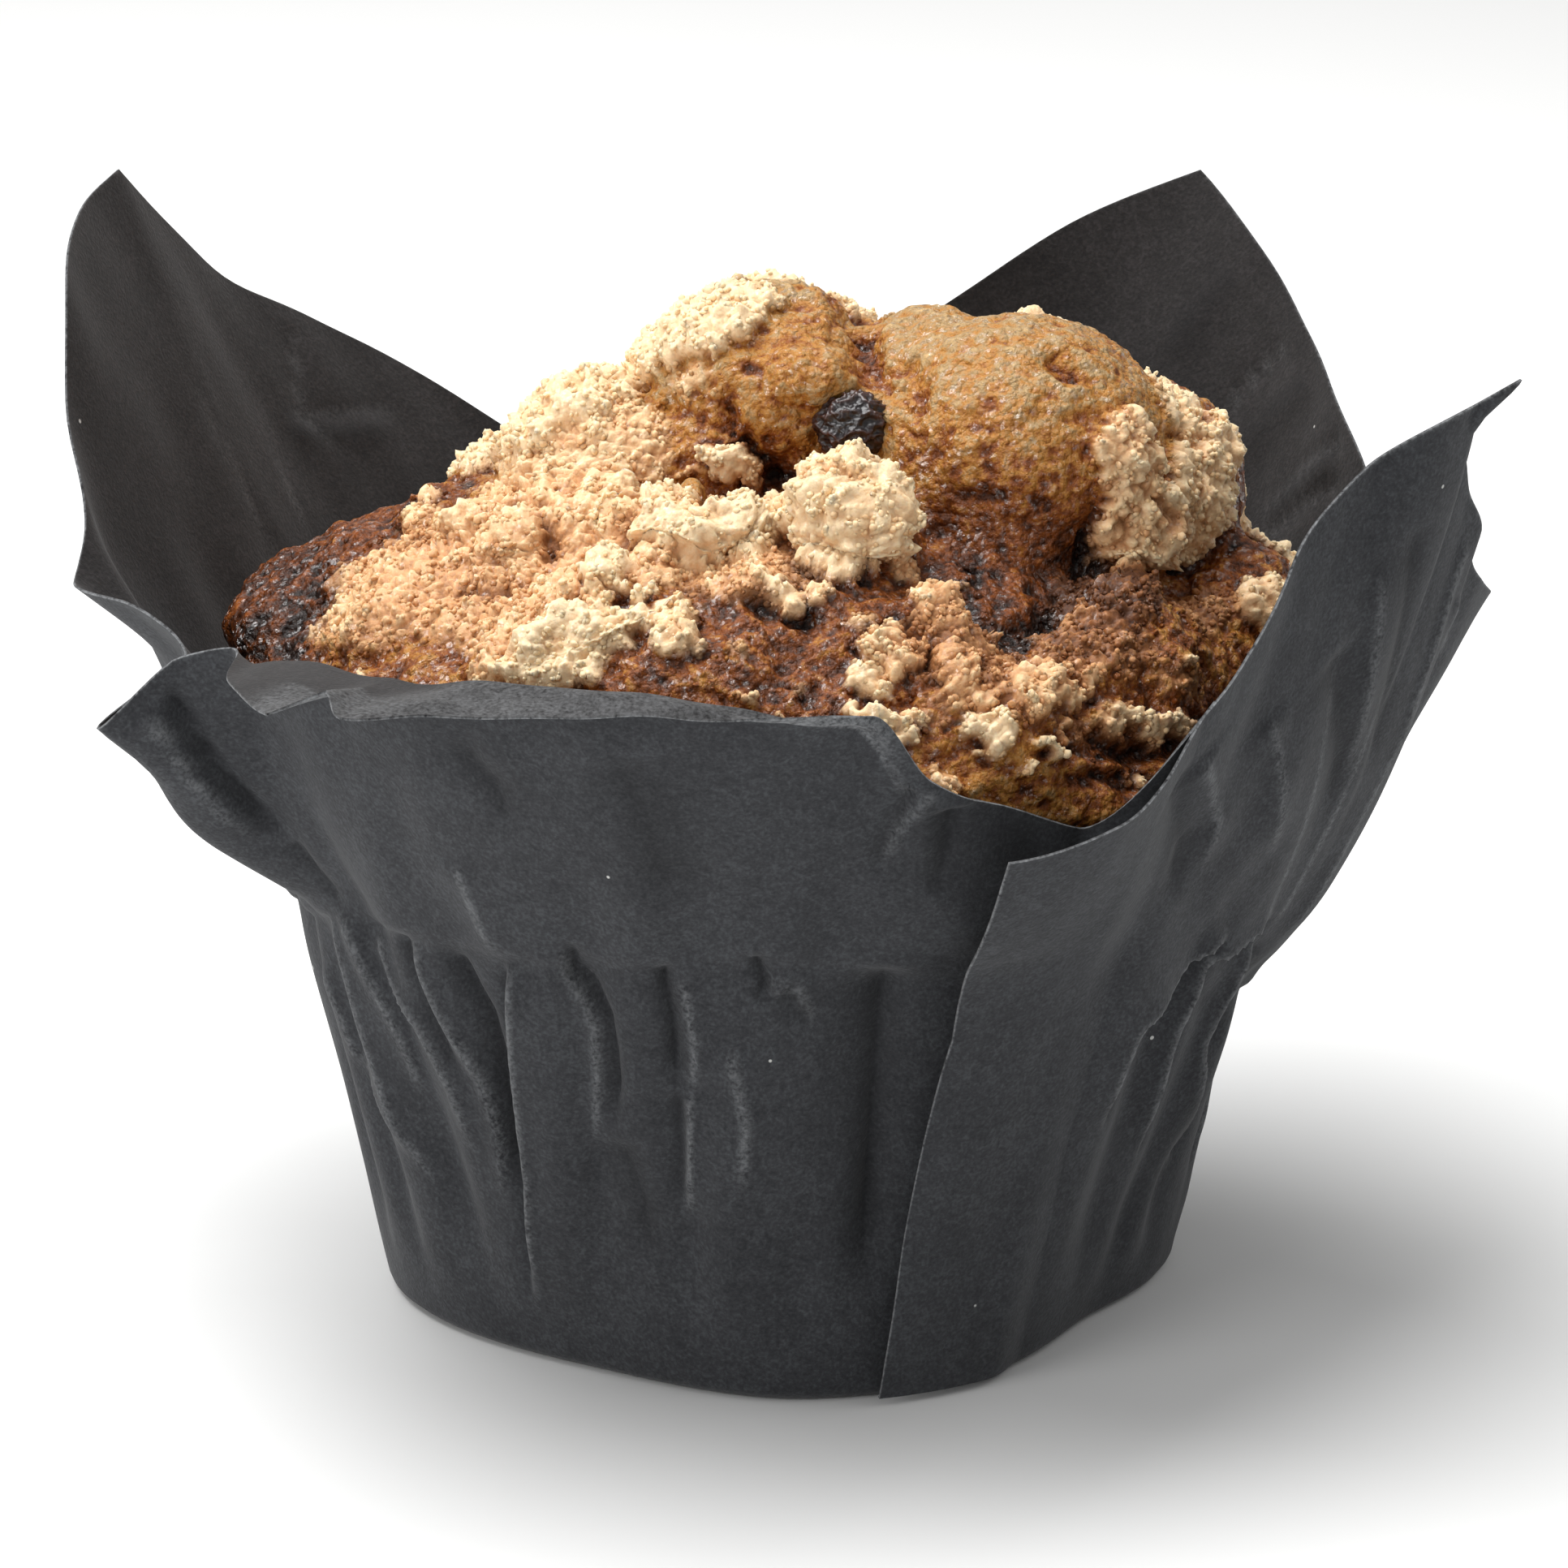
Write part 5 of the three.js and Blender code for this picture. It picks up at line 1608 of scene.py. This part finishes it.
tiny = node(
    tree, "ShaderNodeTexNoise", {"Vector": place, "Scale": per(PORE), "Detail": 3, "Roughness": 0.6}
).outputs["Fac"]
bumps = {"Strength": unevenness, "Distance": BUMP_HEIGHT * MM}
blistered = node(tree, "ShaderNodeBump", {"Height": blisters, **bumps}, invert=True).outputs["Normal"]
bumpy = node(tree, "ShaderNodeBump", {"Height": tiny, "Normal": blistered, **bumps}).outputs["Normal"]
tree.links.new(bumpy, shader.inputs["Normal"])

# %% [markdown]
# The crust glitters because the dried sugar on it breaks up into facets of a third of a millimetre, each
# tilted its own way. One in five is bare and smooth enough to mirror a lamp. A clear coat gives the mirror:
# its weight is nearly nothing on the other facets, and its normal is tilted by the facet's random colour.

# %% Glints of sugar
COAT_WEIGHTS = (0.05, 1.0)
GLINT_SHARE = 0.22
TILT = 0.9

facet = node(tree, "ShaderNodeTexVoronoi", {"Vector": place, "Scale": per(FACET)}).outputs["Color"]
draw = node(tree, "ShaderNodeSeparateXYZ", {"Vector": facet}).outputs["X"]
is_glint = node(tree, "ShaderNodeMath", {0: draw, 1: 1 - GLINT_SHARE}, operation="GREATER_THAN").outputs[0]
coat = node(
    tree, "ShaderNodeMapRange", {"Value": is_glint, "To Min": COAT_WEIGHTS[0], "To Max": COAT_WEIGHTS[1]}
).outputs[0]
coat = node(tree, "ShaderNodeMath", {0: coat, 1: glinting}, operation="MULTIPLY").outputs[0]
tree.links.new(coat, shader.inputs["Coat Weight"])
shader.inputs["Coat IOR"].default_value = 2.0
shader.inputs["Coat Roughness"].default_value = 0.1
tilt = node(tree, "ShaderNodeVectorMath", {0: facet, 1: (0.5, 0.5, 0.5)}, operation="SUBTRACT").outputs[0]
tilt = node(tree, "ShaderNodeVectorMath", {0: tilt, "Scale": TILT}, operation="SCALE").outputs[0]
tilted = node(tree, "ShaderNodeVectorMath", {0: bumpy, 1: tilt}, operation="ADD").outputs[0]
tilted = node(tree, "ShaderNodeVectorMath", {0: tilted}, operation="NORMALIZE").outputs[0]
tree.links.new(tilted, shader.inputs["Coat Normal"])
print("nodes in the crust's finish:", len(tree.nodes))
for piece in (muffin_crust, muffin_bulge, muffin_back, muffin_base):
    piece.data.materials.append(crust_finish)

# %% [markdown]
# One raisin sits in the cleft between the peak and the bulge. A dried grape is a soft sack with too much
# skin, so the skin stands in sharp, branching wrinkles. They are a ridged noise on a fine ball.

# %% Raisin
RAISIN_CENTRE = np.array([6.3, -7, 71.6])
RAISIN_HALF = np.array([3.2, 2.7, 2.8])
fine_points, fine_faces = unit_ball(6)
folds = 1 - np.abs(noise_field(fine_points, 0.55, 2, 21))
creases = 1 - np.abs(noise_field(fine_points, 0.28, 2, 23))
skin = 0.93 + 0.16 * (folds**3 - 0.5) + 0.06 * (creases**3 - 0.5)
wrinkled = fine_points * RAISIN_HALF * skin[:, None] + RAISIN_CENTRE
raisin = mesh_object("raisin_skin", wrinkled, fine_faces)
point_attribute(raisin, "fold", np.clip((folds**3 + 0.4 * creases**3) / 1.4, 0, 1))
print("raisin wrinkles from", round(skin.min(), 2), "to", round(skin.max(), 2))

# %% [markdown]
# Its finish is dried fruit skin, slightly sticky, so it is glossy all over: nearly black between the
# wrinkles, as painted shade, and browner along them, where the skin is thin, as painted light coming through.

# %% Dried grape skin material
dried_fruit, tree, shader, place = new_material("dried_grape_skin")
# Colour by wrinkle height: painted shade between the wrinkles, painted light along them.
fold = node(tree, "ShaderNodeAttribute", attribute_name="fold").outputs["Fac"]
skin_colour = node(
    tree, "ShaderNodeValToRGB", {"Fac": fold}, stops=[(0, "#0d0708"), (1, "#4a2a22"), (0.55, "#1d1012")]
).outputs["Color"]
tree.links.new(skin_colour, shader.inputs["Base Color"])
shader.inputs["Roughness"].default_value = 0.32
shader.inputs["Coat Weight"].default_value = 0.4
shader.inputs["Coat Roughness"].default_value = 0.2
tiny = node(tree, "ShaderNodeTexNoise", {"Vector": place, "Scale": per(0.3), "Detail": 3}).outputs["Fac"]
sticky = node(tree, "ShaderNodeBump", {"Height": tiny, "Strength": 0.6, "Distance": 0.15 * MM})
tree.links.new(sticky.outputs["Normal"], shader.inputs["Normal"])
raisin.data.materials.append(dried_fruit)
print("nodes in the raisin's finish:", len(tree.nodes))

# %% [markdown]
# Last, every piece is tied to the CAD body, and the CAD solids are hidden.

# %% Ties to the frame
for piece, slot_name in (
    (paper_wall, "paper"),
    (paper_petals, "paper"),
    (paper_flap, "paper"),
    (muffin_crust, "crust"),
    (muffin_bulge, "crust"),
    (muffin_back, "crust"),
    (muffin_base, "crust"),
    (crumble_grains, "crust"),
    (raisin, "fruit"),
):
    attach(piece, "root")
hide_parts("paper_case")
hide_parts("muffin")
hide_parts("raisin")
